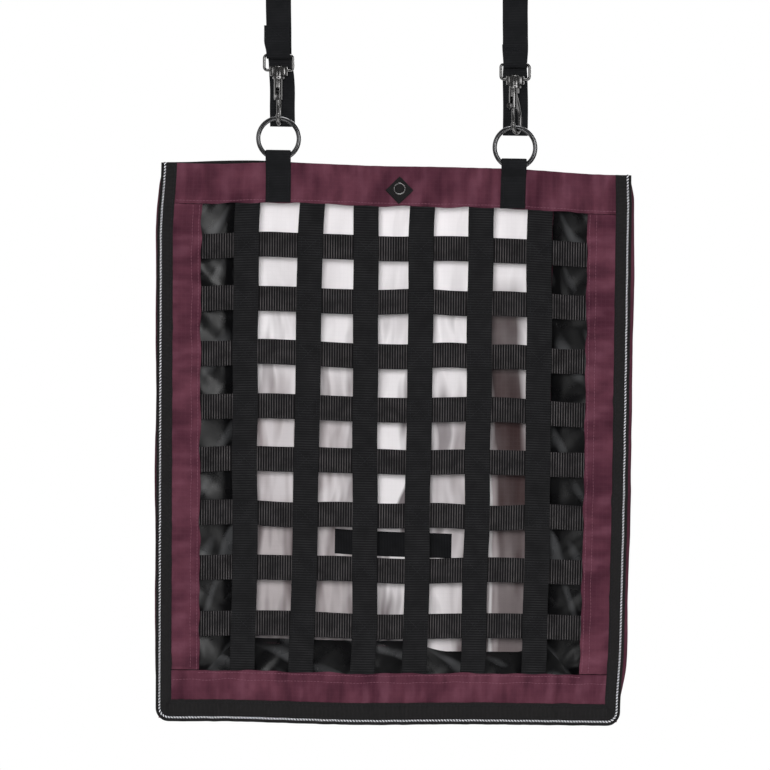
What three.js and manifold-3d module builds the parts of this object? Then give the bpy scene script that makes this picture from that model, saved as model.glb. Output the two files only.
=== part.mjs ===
// Hay bag with a webbing net front, hung on two adjustable straps with swivel bolt snaps.
// Millimetres, +Z up, the net faces -Y. The origin is midway between the tops of the two strap loops.
import * as THREE from 'three';
import * as BufferGeometryUtils from 'three/addons/utils/BufferGeometryUtils.js';
import Module from 'manifold-3d';

const wasm = await Module();
wasm.setup();

// ---- Driving dimensions ---------------------------------------------------------------------
const GAP = 0.3;                    // clearance between pieces that lie on each other
const BAG_WIDTH = 466;
const BAG_HEIGHT = 555;
const BAG_SHIFT_X = 3.3;            // the bag is sewn this far right of the middle of its straps
const LOOP_TOP_ABOVE_BAG = 255;     // from the bag's top edge up to the tops of the strap loops
const HANGER_SPACING = 236;         // between the two straps

const WEB_WIDTH = 25;               // all webbing
const WEB_THICK = 1.5;
const CLOTH_THICK = 1.5;            // one hemmed layer of bag cloth
const TAPE_THICK = 1.2;             // binding tape and lining
const GUSSET_THICK = 0.8;

const TOP_BAND = 40;                // height of the top hem band
const BOTTOM_BAND = 49.5;           // height of the bottom band with its binding
const SIDE_BAND = 42;               // width of a side band with its binding
const BINDING_WIDTH = 14.2;
const BOTTOM_BINDING_WIDTH = 20;
const PIPING_RADIUS = 1;
const PIPING_INSET = 2.4;
const CORNER_RADIUS = 9;

const VERTICAL_COUNT = 6;
const VERTICAL_PITCH = 58.3;
const VERTICAL_WANDER = [0, 3, 3, -2, -1.5, 0];  // each strap's hand-sewn offset
const NET_SHIFT_X = -0.9;
const HORIZONTAL_COUNT = 8;
const HORIZONTAL_FIRST = 81.8;      // first strap's middle below the bag's top edge
const HORIZONTAL_PITCH = 53.6;
const HORIZONTAL_WANDER = [0, 0, 0, 0, -1.5, -1, -0.5, 1.8];  // down
const NET_TUCK = 12;                // how far the net straps run in under the bands

const RING_RADIUS = 20.2;           // to the middle of the wire
const RING_WIRE = 2.3;
const RING_Y = 2.5;                 // the rings hang in this plane
const RING_ABOVE_BAG = 22.3;        // ring centre above the bag's top edge
const RING_LOOP_INSIDE = 3.7;       // inner half-width of the sewn loop
const RING_LOOP_TOP = 11.2;         // top of the fold above the bag's top edge

const GUSSET_HALF = 76;             // from a seam to the crease
const GUSSET_DEPTH = 40;            // between the front and rear seams, as drawn
const SEAM_INSET = 2;               // seam line in from the bag's outer edge

const EYE_WIDTH = 31.6;
const EYE_HEIGHT = 18;
const EYE_WIRE = 2.9;
const EYE_TOP = 106.5;              // above the bag's top edge
const EYE_CORNER = 4;
const EYE_WINDOW_CORNER = 1.2;
const COLLAR_TOP = 94;
const COLLAR_BOTTOM = 84;
const COLLAR_RADIUS = 6;
const SHOULDER_HALF = 9;            // the collar widens into the eye's lower bar
const SHOULDER_DEPTH = 5;
const RIVET_RADIUS = 2;
const RIVET_BORE = 2.4;
const RIVET_LOW = 80;
const BARREL_TOP = 81.5;
const BARREL_BOTTOM = 60;
const BARREL_RADIUS = 4.2;
const BOLT_OFFSET = -3.8;           // bolt line from the swivel axis
const HOOK_OFFSET = 9.4;            // far side of the hook from the swivel axis
const HOOK_WIRE = 2.1;
const HOOK_CENTRE = 43.9;           // centre of the hook's round bottom
const HOOK_TIP = HOOK_CENTRE + 2;
const NECK_LOW = 76;                // the housing widens here to reach the swivel axis
const BORE_RADIUS = 2.5;
const BORE_TOP = 78.5;
const SLOT_HALF = 1.6;              // half the width of the knob's slot
const SLOT_LOW = 52;                // where the cuts for the bore and slot start, below the housing
const STEM_Z = 63;                  // height of the thumb knob
const STEM_RADIUS = 1.3;
const STEM_LENGTH = 6;
const KNOB_LENGTH = 2.8;
const KNOB_REACH = 7;               // from the bolt line to the middle of the knob
const KNOB_RADIUS = 3;
const BOLT_TRAVEL = 7.5;
const PIN_RADIUS = 1.7;
const BOLT_HEAD_RADIUS = 2.2;
const BOLT_HEAD_LOW = 60.5;
const BOLT_HEAD_TOP = 65.5;
const SPRING_TURNS = 6;
const SPRING_RADIUS = 1.7;
const SPRING_WIRE = 0.35;
const SNAP_TURN = { left: 85, right: 57 };   // how far each snap is swivelled, in degrees

// ---- Layers of the front and back, from the front (-Y) backwards -----------------------------
const LOOP_BACK_Y = RING_Y + RING_LOOP_INSIDE;
const BAND_Y = LOOP_BACK_Y + WEB_THICK + GAP;
const BINDING_Y = BAND_Y - GAP - TAPE_THICK;
const PIPING_Y = BINDING_Y - GAP - PIPING_RADIUS;
const VERTICAL_Y = BAND_Y + CLOTH_THICK + GAP;
const HORIZONTAL_Y = VERTICAL_Y + WEB_THICK + GAP;
const FRONT_SEAM_Y = HORIZONTAL_Y + WEB_THICK + 1.7;
const REAR_SEAM_Y = FRONT_SEAM_Y + GUSSET_DEPTH;
const LINING_Y = REAR_SEAM_Y + 1.2;
const BACK_Y = LINING_Y + TAPE_THICK + GAP;
const BACK_BINDING_Y = BACK_Y + CLOTH_THICK + GAP;

const HALF_WIDTH = BAG_WIDTH / 2;
const CLOTH_HALF = HALF_WIDTH - TAPE_THICK - GAP;
const CLOTH_BOTTOM = -BAG_HEIGHT + TAPE_THICK + GAP;

// ---- Materials ------------------------------------------------------------------------------
function material(color, roughness, metalness) {
  return new THREE.MeshStandardMaterial({ color, roughness, metalness });
}
const BURGUNDY = material(0x5c3140, 0.8, 0);
const BLACK_WEB = material(0x26262a, 0.85, 0);
const BLACK_TAPE = material(0x1c1c1f, 0.75, 0);
const BLACK_LINING = material(0x151519, 0.4, 0);
const SILVER_LINING = material(0xe4e2e6, 0.5, 0);
const SILVER_CORD = material(0xd8d6da, 0.5, 0);
const DARK_NICKEL = material(0x55555c, 0.3, 1);
const BRIGHT_NICKEL = material(0xb9b9be, 0.22, 1);
const SPRING_STEEL = material(0x8d8d92, 0.35, 1);

// ---- Geometry helpers -----------------------------------------------------------------------
const X = new THREE.Vector3(1, 0, 0);
const Y = new THREE.Vector3(0, 1, 0);
const Z = new THREE.Vector3(0, 0, 1);

function mesh(name, geometry, look) {
  const piece = new THREE.Mesh(geometry, look);
  piece.name = name;
  return piece;
}

function box(x0, x1, y0, y1, z0, z1) {
  const geometry = new THREE.BoxGeometry(x1 - x0, y1 - y0, z1 - z0);
  return geometry.translate((x0 + x1) / 2, (y0 + y1) / 2, (z0 + z1) / 2);
}

function uprightCylinder(radius, z0, z1, x = 0, y = 0, sides = 28) {
  const geometry = new THREE.CylinderGeometry(radius, radius, z1 - z0, sides);
  return geometry.rotateX(Math.PI / 2).translate(x, y, (z0 + z1) / 2);
}

// A flat outline given in X and Z, filling y0 to y1.
function plateXZ(shape, y0, y1) {
  const settings = { depth: y1 - y0, bevelEnabled: false, curveSegments: 10 };
  const geometry = new THREE.ExtrudeGeometry(shape, settings);
  const turn = new THREE.Matrix4().makeBasis(X, Z, Y.clone().negate());
  return geometry.applyMatrix4(turn).translate(0, y1, 0);
}

// An outline given in Y and Z, filling x0 to x1.
function barYZ(points, x0, x1) {
  const settings = { depth: x1 - x0, bevelEnabled: false };
  const geometry = new THREE.ExtrudeGeometry(new THREE.Shape(points), settings);
  const turn = new THREE.Matrix4().makeBasis(Y, Z, X);
  return geometry.applyMatrix4(turn).translate(x0, 0, 0);
}

// An outline given in X and Y, filling z0 to z1.
function barXY(points, z0, z1) {
  const settings = { depth: z1 - z0, bevelEnabled: false };
  const geometry = new THREE.ExtrudeGeometry(new THREE.Shape(points), settings);
  return geometry.translate(0, 0, z0);
}

function polygon(pairs) {
  return pairs.map(([a, b]) => new THREE.Vector2(a, b));
}

// The outline of a strip of the given thickness that follows a path.
function stripOutline(path, thickness) {
  const left = [];
  const right = [];
  path.forEach((point, i) => {
    const here = Math.min(i, path.length - 2);
    const after = path[here + 1].clone().sub(path[here]).normalize();
    const before = i > 0 ? point.clone().sub(path[i - 1]).normalize() : after;
    const along = before.clone().add(after).normalize();
    const reach = thickness / 2 / along.dot(after);
    const across = new THREE.Vector2(-along.y, along.x).multiplyScalar(reach);
    left.push(point.clone().add(across));
    right.push(point.clone().sub(across));
  });
  return left.concat(right.reverse());
}

function arc(centreX, centreY, radius, fromDegrees, toDegrees, steps) {
  const points = [];
  for (let i = 0; i <= steps; i += 1) {
    const angle = THREE.MathUtils.degToRad(fromDegrees + (toDegrees - fromDegrees) * i / steps);
    points.push(new THREE.Vector2(centreX + radius * Math.cos(angle), centreY + radius * Math.sin(angle)));
  }
  return points;
}

// A round wire along a list of 3-D points.
function wire(points, radius, sides, steps) {
  const section = new THREE.Shape(arc(0, 0, radius, 0, 360 * (sides - 1) / sides, sides - 1));
  const curve = new THREE.CatmullRomCurve3(points, false, 'centripetal');
  return new THREE.ExtrudeGeometry(section, { steps, bevelEnabled: false, extrudePath: curve });
}

function solid(geometry) {
  const bare = geometry.clone();
  bare.deleteAttribute('normal');
  bare.deleteAttribute('uv');
  const merged = BufferGeometryUtils.mergeVertices(bare, 1e-4);
  return new wasm.Manifold(new wasm.Mesh({
    numProp: 3,
    vertProperties: new Float32Array(merged.attributes.position.array),
    triVerts: new Uint32Array(merged.index.array),
  }));
}

function joinAndCut(parts, cuts = []) {
  let body = solid(parts[0]);
  parts.slice(1).forEach((part) => { body = body.add(solid(part)); });
  cuts.forEach((cut) => { body = body.subtract(solid(cut)); });
  const result = body.getMesh();
  const geometry = new THREE.BufferGeometry();
  geometry.setAttribute('position', new THREE.BufferAttribute(new Float32Array(result.vertProperties), 3));
  geometry.setIndex(new THREE.BufferAttribute(new Uint32Array(result.triVerts), 1));
  geometry.computeVertexNormals();
  return geometry;
}

// ---- Hanging strap: sewn round the eye, up over the rail and down behind ------------------------
const STRAP_Y = -3.35;              // middle of the front leg
const TAIL_Y = STRAP_Y + 2.6;       // middle of the back leg at the slider
const TAIL_BACK_Y = 14;             // where the tail hangs behind the snap
const TAIL_END = 35;
const SEWN_END = { left: 134, right: 124 };   // top of the short sewn leg in front
const LEGS_JOIN = 118;              // the long leg lies flat behind the short one above this
const LEGS_PART = 203;              // above this height the two legs spread round the rail
const TAIL_LEAVES = 142;
const RAIL_LOOP_RADIUS = 14.75;

function strapPath(side) {
  const barZ = EYE_TOP - EYE_WIRE / 2;
  const foldRadius = -STRAP_Y;
  const loopY = (STRAP_Y + TAIL_Y) / 2;
  const loopZ = LOOP_TOP_ABOVE_BAG - WEB_THICK / 2 - RAIL_LOOP_RADIUS;
  const rise = loopZ - LEGS_PART;
  const tangent = THREE.MathUtils.radToDeg(Math.asin(RAIL_LOOP_RADIUS / rise));
  const sewnY = STRAP_Y - WEB_THICK - GAP;
  return [
    ...polygon([[sewnY, SEWN_END[side]], [sewnY, LEGS_JOIN - 1], [-foldRadius, barZ + 2]]),
    ...arc(0, barZ, foldRadius, 180, 360, 12),
    ...polygon([[foldRadius, barZ + 2], [STRAP_Y, LEGS_JOIN], [STRAP_Y, LEGS_PART]]),
    ...arc(loopY, loopZ, RAIL_LOOP_RADIUS, 180 + tangent, -tangent, 20),
    ...polygon([[TAIL_Y, LEGS_PART], [TAIL_Y, TAIL_LEAVES], [TAIL_BACK_Y, 98], [TAIL_BACK_Y, TAIL_END]]),
  ];
}

function strap(side) {
  const outline = stripOutline(strapPath(side), WEB_THICK);
  return mesh(`strap_${side}`, barYZ(outline, -WEB_WIDTH / 2, WEB_WIDTH / 2), BLACK_WEB);
}

// ---- Slider that grips both legs of the strap --------------------------------------------------
const SLIDER_HEIGHT = 188;          // its middle above the bag's top edge
const SLIDER_HALF = 10;
const SLIDER_BAR = 2.6;             // depth of its bars
const SLIDER_BAR_HEIGHT = 3;
const SLIDER_SIDE = 2.9;            // width of its two sides
const SLIDER_ROOM = 0.6;            // at each edge of the strap
const SLIDER_FRONT_ROOM = 0.5;
const SLIDER_BACK_ROOM = 0.4;

function slider(side) {
  const inside = WEB_WIDTH / 2 + SLIDER_ROOM;
  const outside = inside + SLIDER_SIDE;
  const front = STRAP_Y - WEB_THICK / 2 - SLIDER_FRONT_ROOM;
  const back = TAIL_Y + WEB_THICK / 2 + SLIDER_BACK_ROOM;
  const face = front - SLIDER_BAR;
  const rear = back + SLIDER_BAR;
  const low = SLIDER_HEIGHT - SLIDER_HALF;
  const high = SLIDER_HEIGHT + SLIDER_HALF;
  const halfBar = SLIDER_BAR_HEIGHT / 2;
  const geometry = joinAndCut([
    box(-outside, -inside, face, rear, low, high),
    box(inside, outside, face, rear, low, high),
    box(-outside, outside, face, front, high - SLIDER_BAR_HEIGHT, high),
    box(-outside, outside, face, front, low, low + SLIDER_BAR_HEIGHT),
    box(-outside, outside, back, rear, SLIDER_HEIGHT - halfBar, SLIDER_HEIGHT + halfBar),
  ]);
  return mesh(`strap_slider_${side}`, geometry, DARK_NICKEL);
}

// ---- Swivel bolt snap, drawn with its hook in the XZ plane and the swivel axis at x = 0 --------
function roundedRectangle(halfWidth, low, high, radius) {
  const shape = new THREE.Shape();
  shape.moveTo(-halfWidth + radius, low);
  shape.lineTo(halfWidth - radius, low);
  shape.absarc(halfWidth - radius, low + radius, radius, -Math.PI / 2, 0, false);
  shape.lineTo(halfWidth, high - radius);
  shape.absarc(halfWidth - radius, high - radius, radius, 0, Math.PI / 2, false);
  shape.lineTo(-halfWidth + radius, high);
  shape.absarc(-halfWidth + radius, high - radius, radius, Math.PI / 2, Math.PI, false);
  shape.lineTo(-halfWidth, low + radius);
  shape.absarc(-halfWidth + radius, low + radius, radius, Math.PI, Math.PI * 1.5, false);
  return shape;
}

function swivelEye(side) {
  const frame = roundedRectangle(EYE_WIDTH / 2, EYE_TOP - EYE_HEIGHT, EYE_TOP, EYE_CORNER);
  const windowTop = EYE_TOP - EYE_WIRE;
  const windowLow = EYE_TOP - EYE_HEIGHT + EYE_WIRE;
  const windowHalf = EYE_WIDTH / 2 - EYE_WIRE;
  const deep = SHOULDER_DEPTH / 2;
  frame.holes.push(roundedRectangle(windowHalf, windowLow, windowTop, EYE_WINDOW_CORNER));
  const geometry = joinAndCut(
    [plateXZ(frame, -EYE_WIRE / 2, EYE_WIRE / 2),
      uprightCylinder(COLLAR_RADIUS, COLLAR_BOTTOM, COLLAR_TOP),
      box(-SHOULDER_HALF, SHOULDER_HALF, -deep, deep, COLLAR_BOTTOM + 1.5, COLLAR_TOP - 1)],
    [uprightCylinder(RIVET_BORE, COLLAR_BOTTOM - 1, COLLAR_TOP + 1)],
  );
  return mesh(`swivel_eye_${side}`, geometry, BRIGHT_NICKEL);
}

function swivelRivet(side) {
  const headLow = COLLAR_TOP + GAP;
  const profile = polygon([[0, RIVET_LOW], [RIVET_RADIUS, RIVET_LOW], [RIVET_RADIUS, headLow],
    [RIVET_RADIUS * 2, headLow], [RIVET_RADIUS * 1.7, headLow + 1.5], [0, headLow + 1.9]]);
  const geometry = new THREE.LatheGeometry(profile, 24).rotateX(Math.PI / 2);
  return mesh(`swivel_rivet_${side}`, geometry, BRIGHT_NICKEL);
}

function hookWire() {
  const middle = (BOLT_OFFSET + HOOK_OFFSET) / 2;
  const radius = (HOOK_OFFSET - BOLT_OFFSET) / 2;
  const bottom = arc(middle, HOOK_CENTRE, radius, 0, -180, 14);
  const flat = [...polygon([[-1, 74], [3.5, 66.5], [7.6, 59], [HOOK_OFFSET, 51]]), ...bottom,
    new THREE.Vector2(BOLT_OFFSET, HOOK_TIP)];
  return wire(flat.map((p) => new THREE.Vector3(p.x, 0, p.y)), HOOK_WIRE, 12, 44);
}

function snapBody(side) {
  const slotTop = STEM_Z + BOLT_TRAVEL + 1.8;
  const geometry = joinAndCut(
    [uprightCylinder(BARREL_RADIUS, BARREL_BOTTOM, BARREL_TOP, BOLT_OFFSET),
      uprightCylinder(BARREL_RADIUS, NECK_LOW, BARREL_TOP),
      uprightCylinder(COLLAR_RADIUS, BARREL_TOP - 0.4, COLLAR_BOTTOM - GAP),
      hookWire()],
    [uprightCylinder(BORE_RADIUS, SLOT_LOW, BORE_TOP, BOLT_OFFSET),
      uprightCylinder(RIVET_RADIUS + GAP, RIVET_LOW - 0.5, COLLAR_BOTTOM + 1),
      box(BOLT_OFFSET - 2 * BARREL_RADIUS, BOLT_OFFSET, -SLOT_HALF, SLOT_HALF, SLOT_LOW, slotTop)],
  );
  return mesh(`snap_body_${side}`, geometry, BRIGHT_NICKEL);
}

// A turned pin that lies along X, centred on x, at the knob's height.
function levelCylinder(radiusOut, radiusIn, length, x, sides) {
  const geometry = new THREE.CylinderGeometry(radiusOut, radiusIn, length, sides);
  return geometry.rotateZ(Math.PI / 2).translate(x, 0, STEM_Z);
}

function snapBolt(side) {
  const geometry = joinAndCut([
    uprightCylinder(PIN_RADIUS, HOOK_TIP + GAP, BOLT_HEAD_TOP - 2, BOLT_OFFSET, 0, 20),
    uprightCylinder(BOLT_HEAD_RADIUS, BOLT_HEAD_LOW, BOLT_HEAD_TOP, BOLT_OFFSET, 0, 20),
    levelCylinder(STEM_RADIUS, STEM_RADIUS, STEM_LENGTH, BOLT_OFFSET - STEM_LENGTH / 2, 16),
    levelCylinder(KNOB_RADIUS, KNOB_RADIUS * 0.8, KNOB_LENGTH, BOLT_OFFSET - KNOB_REACH, 20),
  ]);
  return mesh(`snap_bolt_${side}`, geometry, BRIGHT_NICKEL);
}

function snapSpring(side) {
  const steps = SPRING_TURNS * 10;
  const low = BOLT_HEAD_TOP + 2 * SPRING_WIRE;
  const high = BORE_TOP - 2 * SPRING_WIRE;
  const points = [];
  for (let i = 0; i <= steps; i += 1) {
    const angle = i * Math.PI / 5;
    const x = BOLT_OFFSET + SPRING_RADIUS * Math.cos(angle);
    points.push(new THREE.Vector3(x, SPRING_RADIUS * Math.sin(angle), low + (high - low) * i / steps));
  }
  return mesh(`snap_spring_${side}`, wire(points, SPRING_WIRE, 6, steps), SPRING_STEEL);
}

function snapGroup(side) {
  const group = new THREE.Group();
  group.rotation.z = THREE.MathUtils.degToRad(SNAP_TURN[side]);
  group.add(swivelRivet(side), snapBody(side), snapBolt(side), snapSpring(side));
  return group;
}

function ring(side) {
  const geometry = new THREE.TorusGeometry(RING_RADIUS, RING_WIRE, 12, 48);
  geometry.rotateX(Math.PI / 2).translate(0, RING_Y, RING_ABOVE_BAG);
  return mesh(`ring_${side}`, geometry, DARK_NICKEL);
}

// ---- Bag front --------------------------------------------------------------------------------
function ringLoop(side, x) {
  const radius = RING_LOOP_INSIDE + WEB_THICK / 2;
  const foldZ = RING_LOOP_TOP - WEB_THICK / 2 - radius;
  const backY = LOOP_BACK_Y + WEB_THICK / 2;
  const frontY = backY - WEB_THICK - GAP;
  const path = [
    ...polygon([[backY, -TOP_BAND + 2]]),
    ...arc(RING_Y, foldZ, radius, 0, 180, 12),
    ...polygon([[RING_Y - radius, 0], [frontY, -9], [frontY, -TOP_BAND]]),
  ];
  const geometry = barYZ(stripOutline(path, WEB_THICK), x - WEB_WIDTH / 2, x + WEB_WIDTH / 2);
  return mesh(`ring_loop_${side}`, geometry, BLACK_WEB);
}

function frontBands() {
  const back = BAND_Y + CLOTH_THICK;
  const inner = HALF_WIDTH - SIDE_BAND;
  const sideTop = -TOP_BAND - GAP;
  const sideLow = -BAG_HEIGHT + BOTTOM_BAND + GAP;
  const band = (name, x0, x1, z0, z1) => mesh(name, box(x0, x1, BAND_Y, back, z0, z1), BURGUNDY);
  return [
    band('front_band_top', -CLOTH_HALF, CLOTH_HALF, -TOP_BAND, 0),
    band('front_band_bottom', -CLOTH_HALF, CLOTH_HALF, CLOTH_BOTTOM, sideLow - GAP),
    band('front_band_left', -CLOTH_HALF, -inner, sideLow, sideTop),
    band('front_band_right', inner, CLOTH_HALF, sideLow, sideTop),
  ];
}

function netStraps() {
  const pieces = [];
  const half = WEB_WIDTH / 2;
  const top = -TOP_BAND + NET_TUCK;
  const low = -BAG_HEIGHT + BOTTOM_BAND - NET_TUCK;
  const reach = HALF_WIDTH - SIDE_BAND + NET_TUCK;
  for (let i = 0; i < VERTICAL_COUNT; i += 1) {
    const x = NET_SHIFT_X + (i - (VERTICAL_COUNT - 1) / 2) * VERTICAL_PITCH + VERTICAL_WANDER[i];
    const geometry = box(x - half, x + half, VERTICAL_Y, VERTICAL_Y + WEB_THICK, low, top);
    pieces.push(mesh(`net_vertical_${i + 1}`, geometry, BLACK_WEB));
  }
  for (let i = 0; i < HORIZONTAL_COUNT; i += 1) {
    const z = -HORIZONTAL_FIRST - i * HORIZONTAL_PITCH - HORIZONTAL_WANDER[i];
    const geometry = box(-reach, reach, HORIZONTAL_Y, HORIZONTAL_Y + WEB_THICK, z - half, z + half);
    pieces.push(mesh(`net_horizontal_${i + 1}`, geometry, BLACK_WEB));
  }
  return pieces;
}

// Binding that wraps the outer edges; faceY is its outer face and wallY how far its wall reaches.
function sideBinding(name, sign, faceY, innerFaceY, wallY) {
  const inner = HALF_WIDTH - BINDING_WIDTH;
  const wall = HALF_WIDTH - TAPE_THICK;
  const points = polygon([[sign * inner, faceY], [sign * HALF_WIDTH, faceY], [sign * HALF_WIDTH, wallY],
    [sign * wall, wallY], [sign * wall, innerFaceY], [sign * inner, innerFaceY]]);
  return mesh(name, barXY(points, -BAG_HEIGHT, 0), BLACK_TAPE);
}

function bottomBinding(name, faceY, innerFaceY, wallY) {
  const half = HALF_WIDTH - BINDING_WIDTH - GAP;
  const low = -BAG_HEIGHT;
  const high = low + BOTTOM_BINDING_WIDTH;
  const wall = low + TAPE_THICK;
  const points = polygon([[faceY, high], [faceY, low], [wallY, low], [wallY, wall],
    [innerFaceY, wall], [innerFaceY, high]]);
  return mesh(name, barYZ(points, -half, half), BLACK_TAPE);
}

// The twisted cord that edges the two sides and the bottom.
function frontPiping() {
  const side = HALF_WIDTH - PIPING_INSET;
  const low = -BAG_HEIGHT + PIPING_INSET;
  const bend = CORNER_RADIUS - PIPING_INSET;
  const flat = [
    ...polygon([[-side, -0.5], [-side, -150], [-side, -300], [-side, -450]]),
    ...arc(-side + bend, low + bend, bend, 180, 270, 6),
    ...polygon([[-80, low], [80, low]]),
    ...arc(side - bend, low + bend, bend, 270, 360, 6),
    ...polygon([[side, -450], [side, -300], [side, -150], [side, -0.5]]),
  ];
  const line = flat.map((p) => new THREE.Vector3(p.x, PIPING_Y, p.y));
  return mesh('front_piping', wire(line, PIPING_RADIUS, 8, 76), SILVER_CORD);
}

const BADGE_X = 3.5;
const BADGE_Z = -24;
const BADGE_HALF = 14;
const EYELET_RADIUS = 5.4;
const EYELET_WIRE = 0.8;

function badge() {
  const diamond = new THREE.Shape(polygon([[BADGE_X - BADGE_HALF, BADGE_Z], [BADGE_X, BADGE_Z - BADGE_HALF],
    [BADGE_X + BADGE_HALF, BADGE_Z], [BADGE_X, BADGE_Z + BADGE_HALF]]));
  const eyelet = new THREE.TorusGeometry(EYELET_RADIUS, EYELET_WIRE, 8, 28).rotateX(Math.PI / 2);
  eyelet.translate(BADGE_X, BINDING_Y - GAP - EYELET_WIRE, BADGE_Z + 1.5);
  return [
    mesh('badge_patch', plateXZ(diamond, BINDING_Y, BINDING_Y + TAPE_THICK), BLACK_TAPE),
    mesh('badge_eyelet', eyelet, BRIGHT_NICKEL),
  ];
}

// ---- Bag back ---------------------------------------------------------------------------------
const BACK_RISE = 4.5;              // the back's top edge stands above the front's
const TRIM_DEPTH = 12;              // how far the top binding's legs reach down
const INNER_TAPE = { left: -57, right: 61, low: -391, high: -366 };

function bagBack() {
  const innerStrapY = LINING_Y - GAP - TAPE_THICK;
  const face = BACK_BINDING_Y + TAPE_THICK;
  const trimPoints = polygon([[innerStrapY, -TRIM_DEPTH], [innerStrapY + TAPE_THICK, -TRIM_DEPTH],
    [innerStrapY + TAPE_THICK, BACK_RISE], [BACK_BINDING_Y, BACK_RISE], [BACK_BINDING_Y, -TRIM_DEPTH],
    [face, -TRIM_DEPTH], [face, BACK_RISE + TAPE_THICK], [innerStrapY, BACK_RISE + TAPE_THICK]]);
  const trimHalf = HALF_WIDTH - BINDING_WIDTH - GAP;
  const top = BACK_RISE - GAP;
  const wallY = REAR_SEAM_Y + 0.5;
  const sheet = (y, thick) => box(-CLOTH_HALF, CLOTH_HALF, y, y + thick, CLOTH_BOTTOM, top);
  const { left, right, low, high } = INNER_TAPE;
  const innerTape = box(left, right, innerStrapY, innerStrapY + TAPE_THICK, low, high);
  return [
    mesh('back_lining', sheet(LINING_Y, TAPE_THICK), SILVER_LINING),
    mesh('back_panel', sheet(BACK_Y, CLOTH_THICK), BURGUNDY),
    mesh('back_top_binding', barYZ(trimPoints, -trimHalf, trimHalf), BLACK_TAPE),
    sideBinding('back_binding_left', -1, face, BACK_BINDING_Y, wallY),
    sideBinding('back_binding_right', 1, face, BACK_BINDING_Y, wallY),
    bottomBinding('back_binding_bottom', face, BACK_BINDING_Y, wallY),
    mesh('inner_tape', innerTape, BLACK_WEB),
  ];
}

// ---- Gussets: each is two halves folded inwards to a crease -------------------------------------
const FOLD_ANGLE = Math.asin(GUSSET_DEPTH / 2 / GUSSET_HALF);
const GUSSET_REACH = GUSSET_HALF - 3.8;     // the open crease leaves the halves room to close
const GUSSET_START = 0.8;
const MITRE_GAP = 0.4;

// A half drawn flat in XZ with its seam along z at x = 0 and the cloth towards +x, mitred at the bottom.
function sideHalf(name, sign, facing) {
  const height = BAG_HEIGHT - SEAM_INSET;
  const low = -height + MITRE_GAP;
  const flat = new THREE.Shape(polygon([
    [GUSSET_START, low + GUSSET_START], [GUSSET_REACH, low + GUSSET_REACH],
    [GUSSET_REACH, -1], [GUSSET_START, -1],
  ]));
  const piece = mesh(name, plateXZ(flat, -GUSSET_THICK / 2, GUSSET_THICK / 2), BLACK_LINING);
  const seamY = facing > 0 ? FRONT_SEAM_Y : REAR_SEAM_Y;
  piece.position.set(sign * (HALF_WIDTH - SEAM_INSET), seamY, 0);
  piece.rotation.z = sign < 0 ? facing * FOLD_ANGLE : Math.PI - facing * FOLD_ANGLE;
  return piece;
}

// The bottom halves run along X, mitred at both ends.
function bottomHalf(name, facing) {
  const half = HALF_WIDTH - SEAM_INSET - MITRE_GAP;
  const outer = half - GUSSET_START;
  const inner = half - GUSSET_REACH;
  const flat = new THREE.Shape(polygon([[-outer, GUSSET_START], [outer, GUSSET_START],
    [inner, GUSSET_REACH], [-inner, GUSSET_REACH]]));
  const piece = mesh(name, plateXZ(flat, -GUSSET_THICK / 2, GUSSET_THICK / 2), BLACK_LINING);
  piece.position.set(0, facing > 0 ? FRONT_SEAM_Y : REAR_SEAM_Y, -BAG_HEIGHT + SEAM_INSET);
  piece.rotation.x = -facing * FOLD_ANGLE;
  return piece;
}

function gussets() {
  return [
    sideHalf('gusset_left_front', -1, 1),
    sideHalf('gusset_right_front', 1, 1),
    bottomHalf('gusset_bottom_front', 1),
    sideHalf('gusset_left_rear', -1, -1),
    sideHalf('gusset_right_rear', 1, -1),
    bottomHalf('gusset_bottom_rear', -1),
  ];
}

// ---- Assembly -----------------------------------------------------------------------------------
function hanger(side, sign) {
  const group = new THREE.Group();
  group.position.set(sign * HANGER_SPACING / 2, 0, -LOOP_TOP_ABOVE_BAG);
  group.add(strap(side), slider(side), swivelEye(side), snapGroup(side), ring(side));
  return group;
}

function bag() {
  const group = new THREE.Group();
  group.position.set(BAG_SHIFT_X, 0, -LOOP_TOP_ABOVE_BAG);
  const wallY = FRONT_SEAM_Y - 0.5;
  group.add(
    ringLoop('left', -HANGER_SPACING / 2 - BAG_SHIFT_X),
    ringLoop('right', HANGER_SPACING / 2 - BAG_SHIFT_X),
    ...frontBands(),
    ...netStraps(),
    sideBinding('front_binding_left', -1, BINDING_Y, BINDING_Y + TAPE_THICK, wallY),
    sideBinding('front_binding_right', 1, BINDING_Y, BINDING_Y + TAPE_THICK, wallY),
    bottomBinding('front_binding_bottom', BINDING_Y, BINDING_Y + TAPE_THICK, wallY),
    frontPiping(),
    ...badge(),
    ...bagBack(),
    ...gussets(),
  );
  return group;
}

const hayBag = new THREE.Group();
hayBag.add(hanger('left', -1), hanger('right', 1), bag());

export default hayBag;
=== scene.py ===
import math
import bmesh
import bpy
import numpy as np
from mathutils import Matrix


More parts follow.
